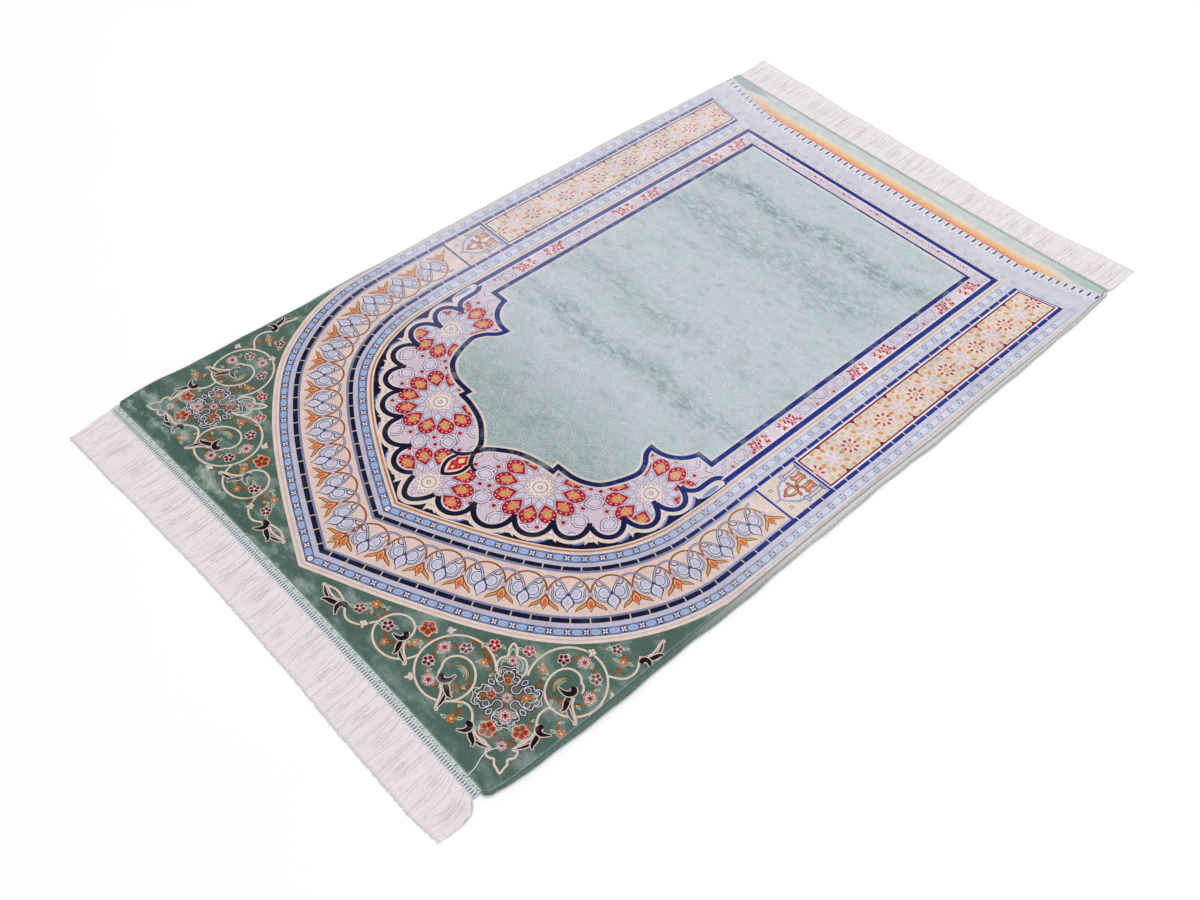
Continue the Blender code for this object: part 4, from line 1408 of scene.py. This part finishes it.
def pile_dyes(middles):
    """The colour of each triangle: its dye with the painted sheen that grows towards the foot, and under more
    painted sheen, a pale cast, on the far foot side.
    """
    shapes = [(lie(points), dye, within) for points, dye, within in painted]
    masks = {name: lie(points) for name, points in areas.items()}
    names = list(DYES)
    number = np.array([names.index(shapes[top][1]) for top in last_painted(middles, shapes, masks)])
    both = linear([DYES[name] for name in names])
    # Painted sheen: each dye turns to its paler colour towards the foot
    pale = ease((SHEEN_FROM - middles[:, 1]) / (SHEEN_FROM - SHEEN_TO))[:, None]
    colours = both[number, 0] * (1 - pale) + both[number, 1] * pale
    # Painted sheen: a pale cast that grows towards the far side of the foot end
    sheen_veil = SHEEN_VEIL * pale * ease((middles[:, 0] - 120.0) / 220.0)[:, None]
    return colours * (1 - sheen_veil) + linear(SHEEN_VEIL_DYE) * sheen_veil


def pile_piece(zone, rows, places, triangles, colours, rim, material):
    """One piece of the pile, with its stretch of the rounded rim that goes down to the floor."""
    rim_edges, rim_out = rim
    used, local = np.unique(triangles[rows], return_inverse=True)
    number_of = {int(p): i for i, p in enumerate(used)}
    flat = places[used]
    verts = list(np.column_stack([flat, PILE_TOP + lift(flat[:, 0], flat[:, 1])]) / 1000)
    faces = [tuple(f) for f in local.reshape(-1, 3)]
    dyes = [colours[r] for r in rows]
    rings = {}

    def ring(point):
        if point not in rings:
            rings[point] = [number_of[point]]
            for out, down in RIM_PROFILE:
                place = places[point] + rim_out[point] * out
                height = max(PILE_TOP + lift(*places[point]) - down, 0.2)
                rings[point].append(len(verts))
                verts.append(np.array([place[0], place[1], height]) / 1000)
        return rings[point]

    here = {int(r) for r in rows}
    for (p, q), number in rim_edges.items():
        if number not in here:
            continue
        a, b = ring(int(p)), ring(int(q))
        for k, share in enumerate(RIM_SHARES):
            faces.append((b[k], a[k], a[k + 1], b[k + 1]))
            dyes.append(colours[number] * (1 - share) + linear(RIM_DYE) * share)
    made = build_mesh(zone, verts, faces, material)
    face_dyes(made, faces, dyes)
    co = np.array(verts) * 1000
    # Painted sheen, strongest at the arch end towards the far side
    sheen_near_end = ease((co[:, 1] - 540.0) / 50.0) * ease((co[:, 0] + 200.0) / 460.0)
    # Painted shade where the pile is turned
    point_values(made, "nap_shade", nap_shade_at(co[:, 0], co[:, 1]))
    point_values(made, "wear_and_sheen", WEAR_AND_SHEEN.get(zone, LEAST_WEAR_AND_SHEEN) + 1.5 * sheen_near_end)
    bake_uv(made.data, co)
    return made


def pile(material):
    """The pile, as one patterned surface split into pieces."""
    places, triangles = pattern_mesh(inset(cloth_outline(), RIM))
    middles = places[triangles].mean(1)
    colours = pile_dyes(middles)
    rim = rim_of(places, triangles)
    zone_shapes = zones()
    zone_of = np.array([zone_shapes[top][1] for top in last_painted(middles, zone_shapes, {})])
    return [pile_piece(zone, np.nonzero(zone_of == zone)[0], places, triangles, colours, rim, material)
            for zone in sorted(set(zone_of.tolist()))]


def bake_uv(mesh, co):
    """A map that fills the square with the piece as it lies."""
    low, high = co[:, :2].min(0), co[:, :2].max(0)
    corner_points = np.empty(len(mesh.loops), np.int32)
    mesh.loops.foreach_get("vertex_index", corner_points)
    uv = (co[corner_points, :2] - low) / (high - low) * 0.998 + 0.001
    mesh.uv_layers.new(name="OFBake").data.foreach_set("uv", uv.astype(np.float32).ravel())


# ---------------------------------------------------------------- materials
class Look:
    """A material whose nodes are added one by one."""

    def __init__(self, name, roughness, sheen, sheen_roughness=0.4, specular=0.3):
        self.material = bpy.data.materials.new(name)
        self.material.use_nodes = True
        self.tree = self.material.node_tree
        self.shader = self.tree.nodes["Principled BSDF"]
        for socket, value in (("Roughness", roughness), ("Sheen Weight", sheen),
                              ("Sheen Roughness", sheen_roughness), ("Specular IOR Level", specular)):
            self.shader.inputs[socket].default_value = value
        self.place = self.add("ShaderNodeTexCoord").outputs["Object"]

    def add(self, kind, settings=(), **inputs):
        node = self.tree.nodes.new(kind)
        for key, value in dict(settings).items():
            setattr(node, key, value)
        for key, value in inputs.items():
            socket = node.inputs[int(key[1:]) if key[0] == "i" and key[1:].isdigit() else key.replace("_",
                                                                                                      " ")]
            if isinstance(value, bpy.types.NodeSocket):
                self.tree.links.new(value, socket)
            else:
                socket.default_value = value
        return node

    def attribute(self, name, output):
        return self.add("ShaderNodeAttribute", {"attribute_name": name}).outputs[output]

    def stretched(self, x, y, z):
        return self.add("ShaderNodeMapping", {"vector_type": "POINT"}, Vector=self.place,
                        Scale=(x, y, z)).outputs[0]

    def noise(self, scale, detail=2.0, roughness=0.5, where=None):
        node = self.add("ShaderNodeTexNoise", (), Vector=where or self.place, Scale=scale, Detail=detail,
                        Roughness=roughness)
        return node.outputs["Fac"]

    def math(self, operation, a, b=0.0, clamp=False):
        return self.add("ShaderNodeMath", {"operation": operation, "use_clamp": clamp}, i0=a, i1=b).outputs[0]

    def spread(self, value, low, high, to_low=0.0, to_high=1.0):
        node = self.add("ShaderNodeMapRange", (), Value=value, From_Min=low, From_Max=high, To_Min=to_low,
                        To_Max=to_high)
        return node.outputs[0]

    def mix(self, share, a, b, blend="MIX"):
        node = self.add("ShaderNodeMix", {"data_type": "RGBA", "blend_type": blend}, i0=share)
        for socket, value in ((node.inputs[6], a), (node.inputs[7], b)):
            if isinstance(value, bpy.types.NodeSocket):
                self.tree.links.new(value, socket)
            else:
                socket.default_value = value
        return node.outputs[2]

    def shade(self, value):
        return self.add("ShaderNodeCombineColor", (), Red=value, Green=value, Blue=value).outputs[0]

    def stain(self, share, colour, dye):
        """Multiplies a share of the colour by a dye."""
        return self.mix(share, colour, self.mix(1.0, colour, dye, "MULTIPLY"))

    def dim(self, colour, value):
        """Multiplies the colour by a grey value."""
        return self.mix(1.0, colour, self.shade(value), "MULTIPLY")

    def finish(self, colour, height, distance, roughness=None):
        self.tree.links.new(colour, self.shader.inputs["Base Color"])
        bump = self.add("ShaderNodeBump", (), Strength=1.0, Distance=distance, Height=height)
        self.tree.links.new(bump.outputs[0], self.shader.inputs["Normal"])
        if roughness is not None:
            self.tree.links.new(roughness, self.shader.inputs["Roughness"])
        return self.material


def grey(value):
    return (value, value, value, 1.0)


def pile_look():
    """Silky cut pile: dyed tufts in rows, with painted sheen and painted shade in patches, and painted shade
    where the pile has been turned.
    """
    look = Look("pile", 0.75, 0.03, 0.4, 0.06)
    dye = look.attribute("dye", "Color")
    nap_shade = look.attribute("nap_shade", "Fac")
    wear_and_sheen = look.attribute("wear_and_sheen", "Fac")
    patches = look.noise(38.0, 4.0, 0.62)
    streaks = look.noise(70.0, 4.0, 0.65, look.stretched(1.0, 1.9, 1.0))
    scratches = look.noise(230.0, 3.0, 0.6, look.stretched(1.0, 2.0, 1.0))
    tufts = look.noise(850.0, 2.0, 0.6)
    # Painted shade: bands of turned pile darken the dye
    turned_nap_shade = look.math("MULTIPLY", nap_shade, look.spread(streaks, 0.38, 0.60), clamp=True)
    shaded = look.stain(look.math("MULTIPLY", turned_nap_shade, 0.95), dye, (0.40, 0.50, 0.49, 1.0))
    # Painted sheen (pale) and painted shade (deep) in cloudy patches, where silky pile catches the light,
    # scaled by the worn-and-sheen value
    clouds = look.noise(22.0, 5.0, 0.68, look.stretched(1.0, 1.7, 1.0))
    pale = look.math("MULTIPLY", wear_and_sheen, look.spread(clouds, 0.50, 0.74, 0.0, 0.55), clamp=True)
    deep = look.math("MULTIPLY", wear_and_sheen, look.spread(clouds, 0.46, 0.28, 0.0, 0.45), clamp=True)
    shaded = look.mix(pale, shaded, (0.40, 0.47, 0.43, 1.0))
    shaded = look.stain(deep, shaded, (0.50, 0.58, 0.56, 1.0))
    mossy = look.spread(look.noise(15.0, 3.0, 0.6), 0.52, 0.66, 0.0, 0.30)
    shaded = look.stain(look.math("MULTIPLY", wear_and_sheen, mossy, clamp=True), shaded, (0.90, 1.0, 0.84, 1.0))
    # Painted shade: darker brush strokes in patches
    strokes = look.math("MULTIPLY", look.spread(patches, 0.47, 0.60),
                        look.spread(scratches, 0.46, 0.60, 0.0, 0.42))
    shaded = look.stain(look.math("MULTIPLY", wear_and_sheen, strokes, clamp=True), shaded, (0.58, 0.68, 0.68, 1.0))
    shaded = look.dim(shaded, look.spread(patches, 0.25, 0.75, 0.90, 1.10))
    shaded = look.dim(shaded, look.spread(scratches, 0.3, 0.7, 0.90, 1.08))
    shaded = look.dim(shaded, look.spread(tufts, 0.3, 0.7, 0.88, 1.08))
    rows = look.add("ShaderNodeTexWave", {"bands_direction": "Y"}, Vector=look.place, Scale=125.0,
                    Distortion=1.5, Detail=1.0,
                    Detail_Scale=4.0)
    height = look.math("ADD", look.math("MULTIPLY", tufts, 0.6),
                       look.math("MULTIPLY", rows.outputs["Fac"], 0.25))
    return look.finish(shaded, height, 0.0003, look.spread(patches, 0.3, 0.7, 0.66, 0.82))


def edge_look():
    """Matt plied yarn: a grey-green outer line, and inside it the colour of the pile beside it."""
    look = Look("binding", 0.8, 0.25, 0.5, 0.2)
    fibres = look.noise(320.0, 3.0, 0.6)
    patches = look.noise(24.0, 3.0, 0.6)
    along = look.add("ShaderNodeSeparateXYZ", (), Vector=look.place).outputs[1]
    green = look.spread(along, 0.12, 0.34)
    pale = look.mix(green, (0.56, 0.58, 0.55, 1.0), (0.16, 0.24, 0.20, 1.0))
    dark = look.mix(green, (0.34, 0.38, 0.35, 1.0), (0.06, 0.10, 0.08, 1.0))
    colour = look.mix(look.spread(fibres, 0.3, 0.7), dark, pale)
    colour = look.mix(look.spread(patches, 0.35, 0.75, 0.0, 0.4), colour, dark)
    face = look.mix(green, (0.66, 0.60, 0.60, 1.0), (0.075, 0.135, 0.105, 1.0))
    face = look.mix(look.spread(fibres, 0.3, 0.7, 0.0, 0.25), face, pale)
    colour = look.mix(look.attribute("outer", "Fac"), face, colour)
    return look.finish(colour, fibres, 0.0004, look.spread(fibres, 0.3, 0.7, 0.9, 0.72))


def hair_look():
    """Fine pale yarns, with a little painted shade in patches for the hollows between locks."""
    look = Look("fringe", 0.75, 0.1, 0.5, 0.2)
    dye = look.attribute("dye", "Color")
    hairs = look.noise(60.0, 2.0, 0.6, look.stretched(9.0, 0.6, 2.0))
    lock_hollow_shade = look.noise(14.0, 3.0, 0.6, look.stretched(6.0, 1.4, 2.0))
    colour = look.mix(look.spread(hairs, 0.30, 0.52, 0.16, 0.0), dye, (0.50, 0.44, 0.42, 1.0))
    # Painted shade between locks
    colour = look.mix(look.spread(lock_hollow_shade, 0.30, 0.48, 0.12, 0.0), colour, (0.52, 0.47, 0.45, 1.0))
    return look.finish(colour, hairs, 0.00008, look.spread(hairs, 0.3, 0.7, 0.82, 0.68))


def canvas_look():
    """Plain-woven backing: over and under threads in two directions."""
    look = Look("canvas", 0.85, 0.15, 0.5, 0.2)
    waves = [look.add("ShaderNodeTexWave", {"bands_direction": way}, Vector=look.place, Scale=140.0,
                      Distortion=0.6).outputs["Fac"]
             for way in ("X", "Y")]
    weave = look.math("MULTIPLY", waves[0], waves[1])
    patches = look.noise(18.0, 3.0, 0.6)
    colour = look.mix(weave, (0.36, 0.38, 0.35, 1.0), (0.66, 0.66, 0.62, 1.0))
    colour = look.mix(look.spread(patches, 0.35, 0.75, 0.0, 0.4), colour, (0.52, 0.50, 0.45, 1.0))
    return look.finish(colour, weave, 0.0005, look.spread(weave, 0.0, 1.0, 0.92, 0.78))


# ---------------------------------------------------------------- foundation, bindings and fringes
def foundation(material):
    """The woven sheet under the pile, closed, from the floor to the roots of the tufts."""
    outline = inset(cloth_outline(), FOUNDATION_INSET)
    count = len(outline)
    raise_by = lift(outline[:, 0], outline[:, 1])
    low = np.column_stack([outline, raise_by * 0.0]) / 1000
    high = np.column_stack([outline, raise_by * 0.5 + FOUNDATION]) / 1000
    faces = [tuple(range(count))[::-1], tuple(range(count, 2 * count))]
    faces += [(i, (i + 1) % count, count + (i + 1) % count, count + i) for i in range(count)]
    return build_mesh("foundation", np.vstack([low, high]), faces, material, False)


def sweep(line, radius_at, sides, squash=1.0):
    """Points and faces of a round along a 3-D line, in mm. radius_at(angle, s) is its radius."""
    run = lengths(line)
    way = unit(np.gradient(line, axis=0))
    across = unit(np.cross(way, (0, 0, 1)))
    up = np.cross(across, way)
    verts, faces = [], []
    for i in range(len(line)):
        for k in range(sides):
            a = 2 * math.pi * k / sides
            r = radius_at(a, run[i])
            verts.append(line[i] + across[i] * r * math.cos(a) + up[i] * r * math.sin(a) * squash)
    for i in range(len(line) - 1):
        for k in range(sides):
            j = (k + 1) % sides
            faces.append((i * sides + k, i * sides + j, (i + 1) * sides + j, (i + 1) * sides + k))
    faces.append(tuple(range(sides))[::-1])
    faces.append(tuple((len(line) - 1) * sides + k for k in range(sides)))
    return verts, faces


STITCH_PITCH = 2.4                  # of the overcast yarn along the edge
BINDING_SIDES = 14


def side_binding(side, material):
    """Yarn overcast round the long edge: squarer towards the cloth, with its turns as slanting ridges."""
    name = "side_binding_left" if side < 0 else "side_binding_right"
    low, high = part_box(name)
    wall = cloth_outline()
    ends = (low.y * 1000 + 1.0, high.y * 1000 + (7.0 if side < 0 else 0.0))
    wall = wall[(wall[:, 0] * side > 300) & (wall[:, 1] > ends[0]) & (wall[:, 1] < ends[1])]
    corner = (side < 0) & (wall[:, 1] > 580)
    wall = wall[~corner | (wall[:, 0] < HEADING_ENDS[1][0] - 1)]
    order = wall[:, 1] + np.where(wall[:, 1] > 590, (wall[:, 0] * -side) * 0.5 + 195, 0)
    wall = wall[np.argsort(order)]
    line = smooth(resample(np.vstack([[(wall[0, 0], ends[0])], wall]), 4.0), 0.55)
    run = lengths(line)
    out = left_of(tangents(line)) * -side
    waves = 1 + 0.11 * np.sin(line[:, 1] / 31) + 0.06 * np.sin(line[:, 1] / 11 + 1)
    radii = table_at(line[:, 1], BINDING_HALF[side]) * waves
    height = BINDING_HEIGHT + 0.1 + lift(line[:, 0], line[:, 1]) * 0.6
    line = np.column_stack([line + out * (SEAM + radii - 0.8)[:, None], height])

    def radius_at(angle, s):
        ridge = 0.92 + 0.08 * math.cos(2 * math.pi * s / STITCH_PITCH + angle * side)
        inward = max(-math.cos(angle) * side, 0.0)
        square = (abs(math.cos(angle))**5 + abs(math.sin(angle))**5) ** -0.2
        return float(np.interp(s, run, radii)) * ridge * (1 + (square - 1) * min(inward * 3, 1))

    verts, faces = sweep(line, radius_at, BINDING_SIDES)
    verts = np.array(verts)
    middle = np.repeat(height, BINDING_SIDES)
    half = np.repeat(radii, BINDING_SIDES)
    verts[:, 2] = middle + (verts[:, 2] - middle) / half * np.minimum(BINDING_HEIGHT, half)
    made = build_mesh(name, verts / 1000, faces, material)
    outward = side * np.cos(2 * np.pi * (np.arange(len(verts)) % BINDING_SIDES) / BINDING_SIDES)
    point_values(made, "outer", ease((outward - 0.05) / 0.6))
    return made


# Middle, bow and skew of each end of the cloth
END_LINES = {1: (595.5, 5.0, 0.5), -1: (-608.8, -6.0, -17.4)}
END_HALF = 390.0                    # half the width that the bow and the skew are for
HEADING_ENDS = {1: (-381.5, 391.5), -1: (-388.0, 394.0)}      # across the rug


def end_line(end, x):
    middle, bow, skew = END_LINES[end]
    share = (x - LAID_ORIGIN[0]) / END_HALF
    return middle + bow * share**2 + skew * share + LAID_ORIGIN[1]


def tip_at(tips, x, column):
    rows = np.array(tips)[:, [0, TIP_COLUMNS.index(column)]] * 1000
    place = np.clip(x - LAID_ORIGIN[0], rows[0, 0], rows[-1, 0])
    k = np.clip(np.searchsorted(rows[:, 0], place, side="right") - 1, 0, len(rows) - 2)
    share = ease((place - rows[k, 0]) / (rows[k + 1, 0] - rows[k, 0]))
    return rows[k, 1] + (rows[k + 1, 1] - rows[k, 1]) * share


STRANDS = 620                       # in each fringe
STRAND_STEPS = 15                   # points along each
STRAND_RADIUS = 0.95
STRAND_SIDES, STRAND_SQUASH = 5, 0.45
BED_STEP = 1.25                     # the matted yarns underneath, one ridge for each of these across
FLARE = {1: 15.5, -1: 8.0}          # how far the yarns spread at the near long edge
ROOT_SLANT = 6.0                    # how far the yarns at the arch lean where they leave the heading
FRINGE_DYES = {"yarn": (234, 225, 226), "yarn_far": (234, 226, 230), "deep": (220, 210, 206),
               "mint": (166, 188, 178), "loop": (220, 221, 228), "stitch": (72, 84, 104),
               "hem": (104, 110, 116), "fleck": (112, 148, 96), "base": (200, 210, 208)}


class Build:
    """Gathers the points, faces and face colours of one mesh."""

    def __init__(self):
        self.verts, self.faces, self.colours = [], [], []

    def add(self, verts, faces, dye):
        start = len(self.verts)
        self.verts.extend(verts)
        self.faces.extend(tuple(start + i for i in f) for f in faces)
        self.colours.extend([linear(FRINGE_DYES[dye])] * len(faces))

    def strip(self, cuts, dye):
        """Joins cross-sections, each a list of points, into a closed body."""
        n = len(cuts[0])
        faces = [(i * n + k, i * n + (k + 1) % n, (i + 1) * n + (k + 1) % n, (i + 1) * n + k)
                 for i in range(len(cuts) - 1) for k in range(n)]
        faces += [tuple(range(n))[::-1], tuple((len(cuts) - 1) * n + k for k in range(n))]
        verts = np.array([q for cut in cuts for q in cut])
        if signed_volume(verts, faces) < 0:
            faces = [f[::-1] for f in faces]
        self.add(list(verts), faces, dye)

    def make(self, name, material):
        made = build_mesh(name, np.array(self.verts) / 1000, self.faces, material)
        face_dyes(made, self.faces, self.colours)
        return made


def signed_volume(verts, faces):
    total = 0.0
    for f in faces:
        a = verts[f[0]]
        for k in range(1, len(f) - 1):
            total += float(np.dot(a, np.cross(verts[f[k]], verts[f[k + 1]])))
    return total


def fringe_point(end, tips, x, share, cut=0.0):
    """Where a yarn that starts at x lies after a share of its length, on the floor plane."""
    root = end_line(end, x) + end * (HEADING[end] - 1.5)
    tip = tip_at(tips, x, "along") + LAID_ORIGIN[1] - end * cut
    lean = tip_at(tips, x, "lean")
    lock = 1.3 * math.sin(x / 8.9 + 1.3 * math.sin(x / 23.0)) + 0.8 * math.sin(x / 3.7 + end)
    sway = 2.2 * math.sin(7 * math.pi * (x - LAID_ORIGIN[0]) / END_HALF + end) + lock * 0.5
    slant = (end > 0) * ROOT_SLANT * math.exp(-7 * share) * min(max((360.0 - x) / 60, 0), 1)
    flare = FLARE[end] * (1 - math.exp(-4.5 * share)) * min(max((-300.0 - x) / 85.0, 0), 1) ** 2
    across = x + lean * share**2 + sway * math.sin(math.pi * share) + lock * share**2 + slant - flare
    return across, root + (tip - root) * share


def fringe_bed(end, tips, left, right, draw):
    """The matted yarns underneath: a thin body with a ridge along every yarn and a slightly uneven end."""
    columns = np.arange(left, right + 0.1, BED_STEP / 2)
    shares = np.linspace(0, 1, 12)
    uneven = np.interp(columns, columns[::2], draw.normal(0, 0.55, len(columns[::2])))
    cuts = []
    for i, x in enumerate(columns):
        ridge = 0.12 if i % 2 else 0.0
        lock = 0.35 * math.sin(x / 5.1 + 2.2 * math.sin(x / 31.0))
        top, low = [], []
        for share in shares:
            px, py = fringe_point(end, tips, x, share, uneven[i] + 1.0)
            height = 1.35 - 0.55 * share + ridge + lock * math.sin(math.pi * min(share * 1.2, 1))
            top.append((px, py, max(height, 0.5)))
            low.append((px, py, 0.12))
        cuts.append(top + low[::-1])
    return cuts


def strand(end, tips, x, draw, number):
    cut = draw.normal(0.8, 0.6) + (draw.uniform(4, 22) if number % 9 == 0 else 0.0)
    slip, curl = draw.normal(0, 1.3), draw.uniform(0, 2 * math.pi)
    rise = draw.uniform(0.0, 0.45)
    line = []
    for share in np.linspace(0, 1, STRAND_STEPS):
        px, py = fringe_point(end, tips, x, share, cut)
        px += slip * share**1.5 + 0.35 * math.sin(7 * share + curl)
        height = 1.45 - 0.6 * share + rise * math.sin(math.pi * min(share * 1.1 + 0.05, 1))
        line.append((px, py, height))
    return np.array(line)


# The top of the wide heading, outward and up
HEADING_TOP = [(0.35, 4.6), (1.6, 4.8), (5.5, 3.7), (10.0, 2.7), (12.3, 1.7)]
HEADING_CUTS = 260
KNOT_PITCH = 3.9


def heading_rows(end):
    return [(out * HEADING[end] / HEADING[1], up) for out, up in HEADING_TOP]


def stitch(build, end, x, slant, reach, width, dye):
    """One raised stitch over the heading, from one distance beyond the cloth to another."""
    cuts = []
    for t in (0.0, 0.25, 0.75, 1.0):
        out = reach[0] + (reach[1] - reach[0]) * t
        top = max(table_at(out, heading_rows(end)), 2.1) + (0.4 if 0 < t < 1 else 0.1)
        half = width / 2 * (1.0 if 0 < t < 1 else 0.55)
        cx, cy = x + slant * (t - 0.5) * 2, end_line(end, x) + end * out
        cuts.append([(cx - half, cy, top - 0.8), (cx - half * 0.6, cy, top), (cx + half * 0.6, cy, top),
                     (cx + half, cy, top - 0.8)])
    build.strip(cuts, dye)


def stitches(build, end, left, right):
    """At the arch slate stitches between pale loops, over a row of mint knots. At the foot a fine hem."""
    if end < 0:
        for x in np.arange(left + 2, right - 2, HEM_PITCH):
            stitch(build, end, x, 0.5, (0.9, 4.4), 1.5, "hem")
        return
    for k, x in enumerate(np.arange(left + 2, right - 4, KNOT_PITCH)):
        stitch(build, end, x, 0.3, (5.8, 11.4), 1.5, "stitch")
        stitch(build, end, x + KNOT_PITCH / 2, 0.3, (5.2, (12.0, 14.6, 16.6, 14.6)[k % 4]), 2.0, "loop")
        if k % 4 == 2:
            stitch(build, end, x, 1.2, (0.4, 6.0), 0.9, "stitch")
        stitch(build, end, x + 0.6, 1.4, (0.4, 5.6), 1.8, "fleck" if k % 5 == 0 else "mint")
        stitch(build, end, x + 2.5, -1.4, (0.4, 5.8), 1.5, "loop" if k % 3 else "mint")


def fringe(end, tips, name, material):
    """A stitched heading along the end of the cloth, and hundreds of fine yarns matted on the floor."""
    draw = np.random.default_rng(11 + end)
    left, right = HEADING_ENDS[end]
    build = Build()
    rows = heading_rows(end)
    rows = [(rows[0][0], 0.15)] + rows + [(rows[-1][0], 0.15)]
    cuts = []
    for x in np.linspace(left, right, HEADING_CUTS):
        base = end_line(end, x)
        cuts.append([(x, base + end * out, z) for out, z in rows])
    build.strip(cuts, "base")
    stitches(build, end, left, right)
    yarn = "yarn" if end > 0 else "yarn_far"
    build.strip(fringe_bed(end, tips, left, right, draw), yarn)
    pitch = (right - left) / STRANDS
    for k in range(STRANDS):
        line = strand(end, tips, left + pitch * (k + 0.5) + draw.uniform(-0.3, 0.3), draw, k)
        whole = lengths(line)[-1]
        draw.uniform()              # passed over, so that each strand keeps its own numbers

        def radius_at(angle, s, whole=whole):
            return STRAND_RADIUS * float(np.interp(s / whole, [0, 0.85, 1], [1, 0.9, 0.45]))

        build.add(*sweep(line, radius_at, STRAND_SIDES, STRAND_SQUASH), "deep" if k % 11 == 0 else yarn)
    if end > 0:
        loose_thread(build)
    return build.make(name, material)


def loose_thread(build):
    """A loose white thread from the heading, lying over the pile at the near corner."""
    places = smooth([(-359.0, 616.0), (-357.6, 605.0), (-353.0, 593.0), (-351.8, 584.4), (-354.4, 575.0),
                     (-359.7, 567.8)], 2)
    height = PILE_TOP + lift(places[:, 0], places[:, 1]) + 0.7
    height[:4] = np.linspace(5.4, height[4], 4)
    build.add(*sweep(np.column_stack([places, height]), lambda angle, s: 0.6, 6), "yarn")


# ---------------------------------------------------------------- stage, light and camera
FLOOR_HALF = 9                      # metres


def stage():
    floor = build_mesh("floor", [(x * FLOOR_HALF, y * FLOOR_HALF, 0) for x,
                                 y in ((-1, -1), (1, -1), (1, 1), (-1, 1))], [(0, 1, 2, 3)], floor_look())
    return floor


def floor_look():
    look = Look("floor", 0.9, 0.0, 0.5, 0.1)
    cloudy = look.noise(1.2, 2.0)
    colour = look.mix(look.spread(cloudy, 0.3, 0.7), grey(0.96), grey(0.98))
    return look.finish(colour, cloudy, 0.0002)


def lamp(name, place, target, size, power):
    data = bpy.data.lights.new(name, "AREA")
    data.shape = "DISK"
    data.size = size
    data.energy = power
    made = bpy.data.objects.new(name, data)
    made.location = place
    made.rotation_euler = (Vector(target) - Vector(place)).to_track_quat("-Z", "Y").to_euler()
    bpy.context.scene.collection.objects.link(made)


def light():
    world = bpy.data.worlds.new("studio")
    world.use_nodes = True
    world.node_tree.nodes["Background"].inputs["Color"].default_value = (0.97, 0.98, 1.0, 1.0)
    world.node_tree.nodes["Background"].inputs["Strength"].default_value = 0.74
    bpy.context.scene.world = world
    lamp("key", (0.6, -1.6, 3.2), (0, 0, 0), 2.6, 47.0)
    lamp("fill", (-2.2, 1.8, 2.6), (0, 0, 0), 2.6, 18.0)
    bpy.context.scene.view_settings.view_transform = "Standard"


# The camera's place and directions on the laid rug, in metres, heights over the pile's top
CAMERA_PLACE = (-0.91815, 0.94056, 1.21068)
CAMERA_RIGHT = (-0.68178, -0.73153, 0.00619)
CAMERA_UP = (0.54250, -0.49989, 0.67513)
CAMERA_FORWARD = (0.49078, -0.46365, -0.73768)
CAMERA_LENS = 37.58


def camera():
    data = bpy.data.cameras.new("camera")
    data.lens = CAMERA_LENS
    data.sensor_width = 36.0
    made = bpy.data.objects.new("camera", data)
    right, up, forward = Vector(CAMERA_RIGHT), Vector(CAMERA_UP), Vector(CAMERA_FORWARD)
    turn = Matrix((right, up, -forward)).transposed().to_4x4()
    origin = Vector((LAID_ORIGIN[0], LAID_ORIGIN[1], PILE_TOP)) / 1000
    made.matrix_world = Matrix.Translation(Vector(CAMERA_PLACE) + origin) @ turn
    bpy.context.scene.collection.objects.link(made)
    bpy.context.scene.camera = made


def paint_rug():
    paint(box(-PAST_SIDE, PAST_FOOT, PAST_SIDE, PAST_ARCH), "green")
    corners()
    star_band()
    field()
    scallops()
    gem_arch()
    straight_stripes()
    bands()
    guards()
    stripe_ticks()
    main_border()
    foot()
    small_panel()
    long_panel()


camera()
light()
floor = stage()
paint_rug()
pile_pieces = pile(pile_look())
for piece in pile_pieces:
    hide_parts("pile_cloth")
back = foundation(canvas_look())
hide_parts("pile_cloth")
binding_look = edge_look()
bindings = [side_binding(side, binding_look) for side in (-1, 1)]
for piece in bindings:
    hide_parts(piece.name.split(".")[0])
fringe_look = hair_look()
fringes = [fringe(1, ARCH_TIPS, "arch_fringe", fringe_look),
           fringe(-1, FOOT_TIPS, "foot_fringe", fringe_look)]
for piece in fringes:
    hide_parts(piece.name.split(".")[0])
for piece in [back] + pile_pieces + bindings + fringes:
    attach(piece, "root")
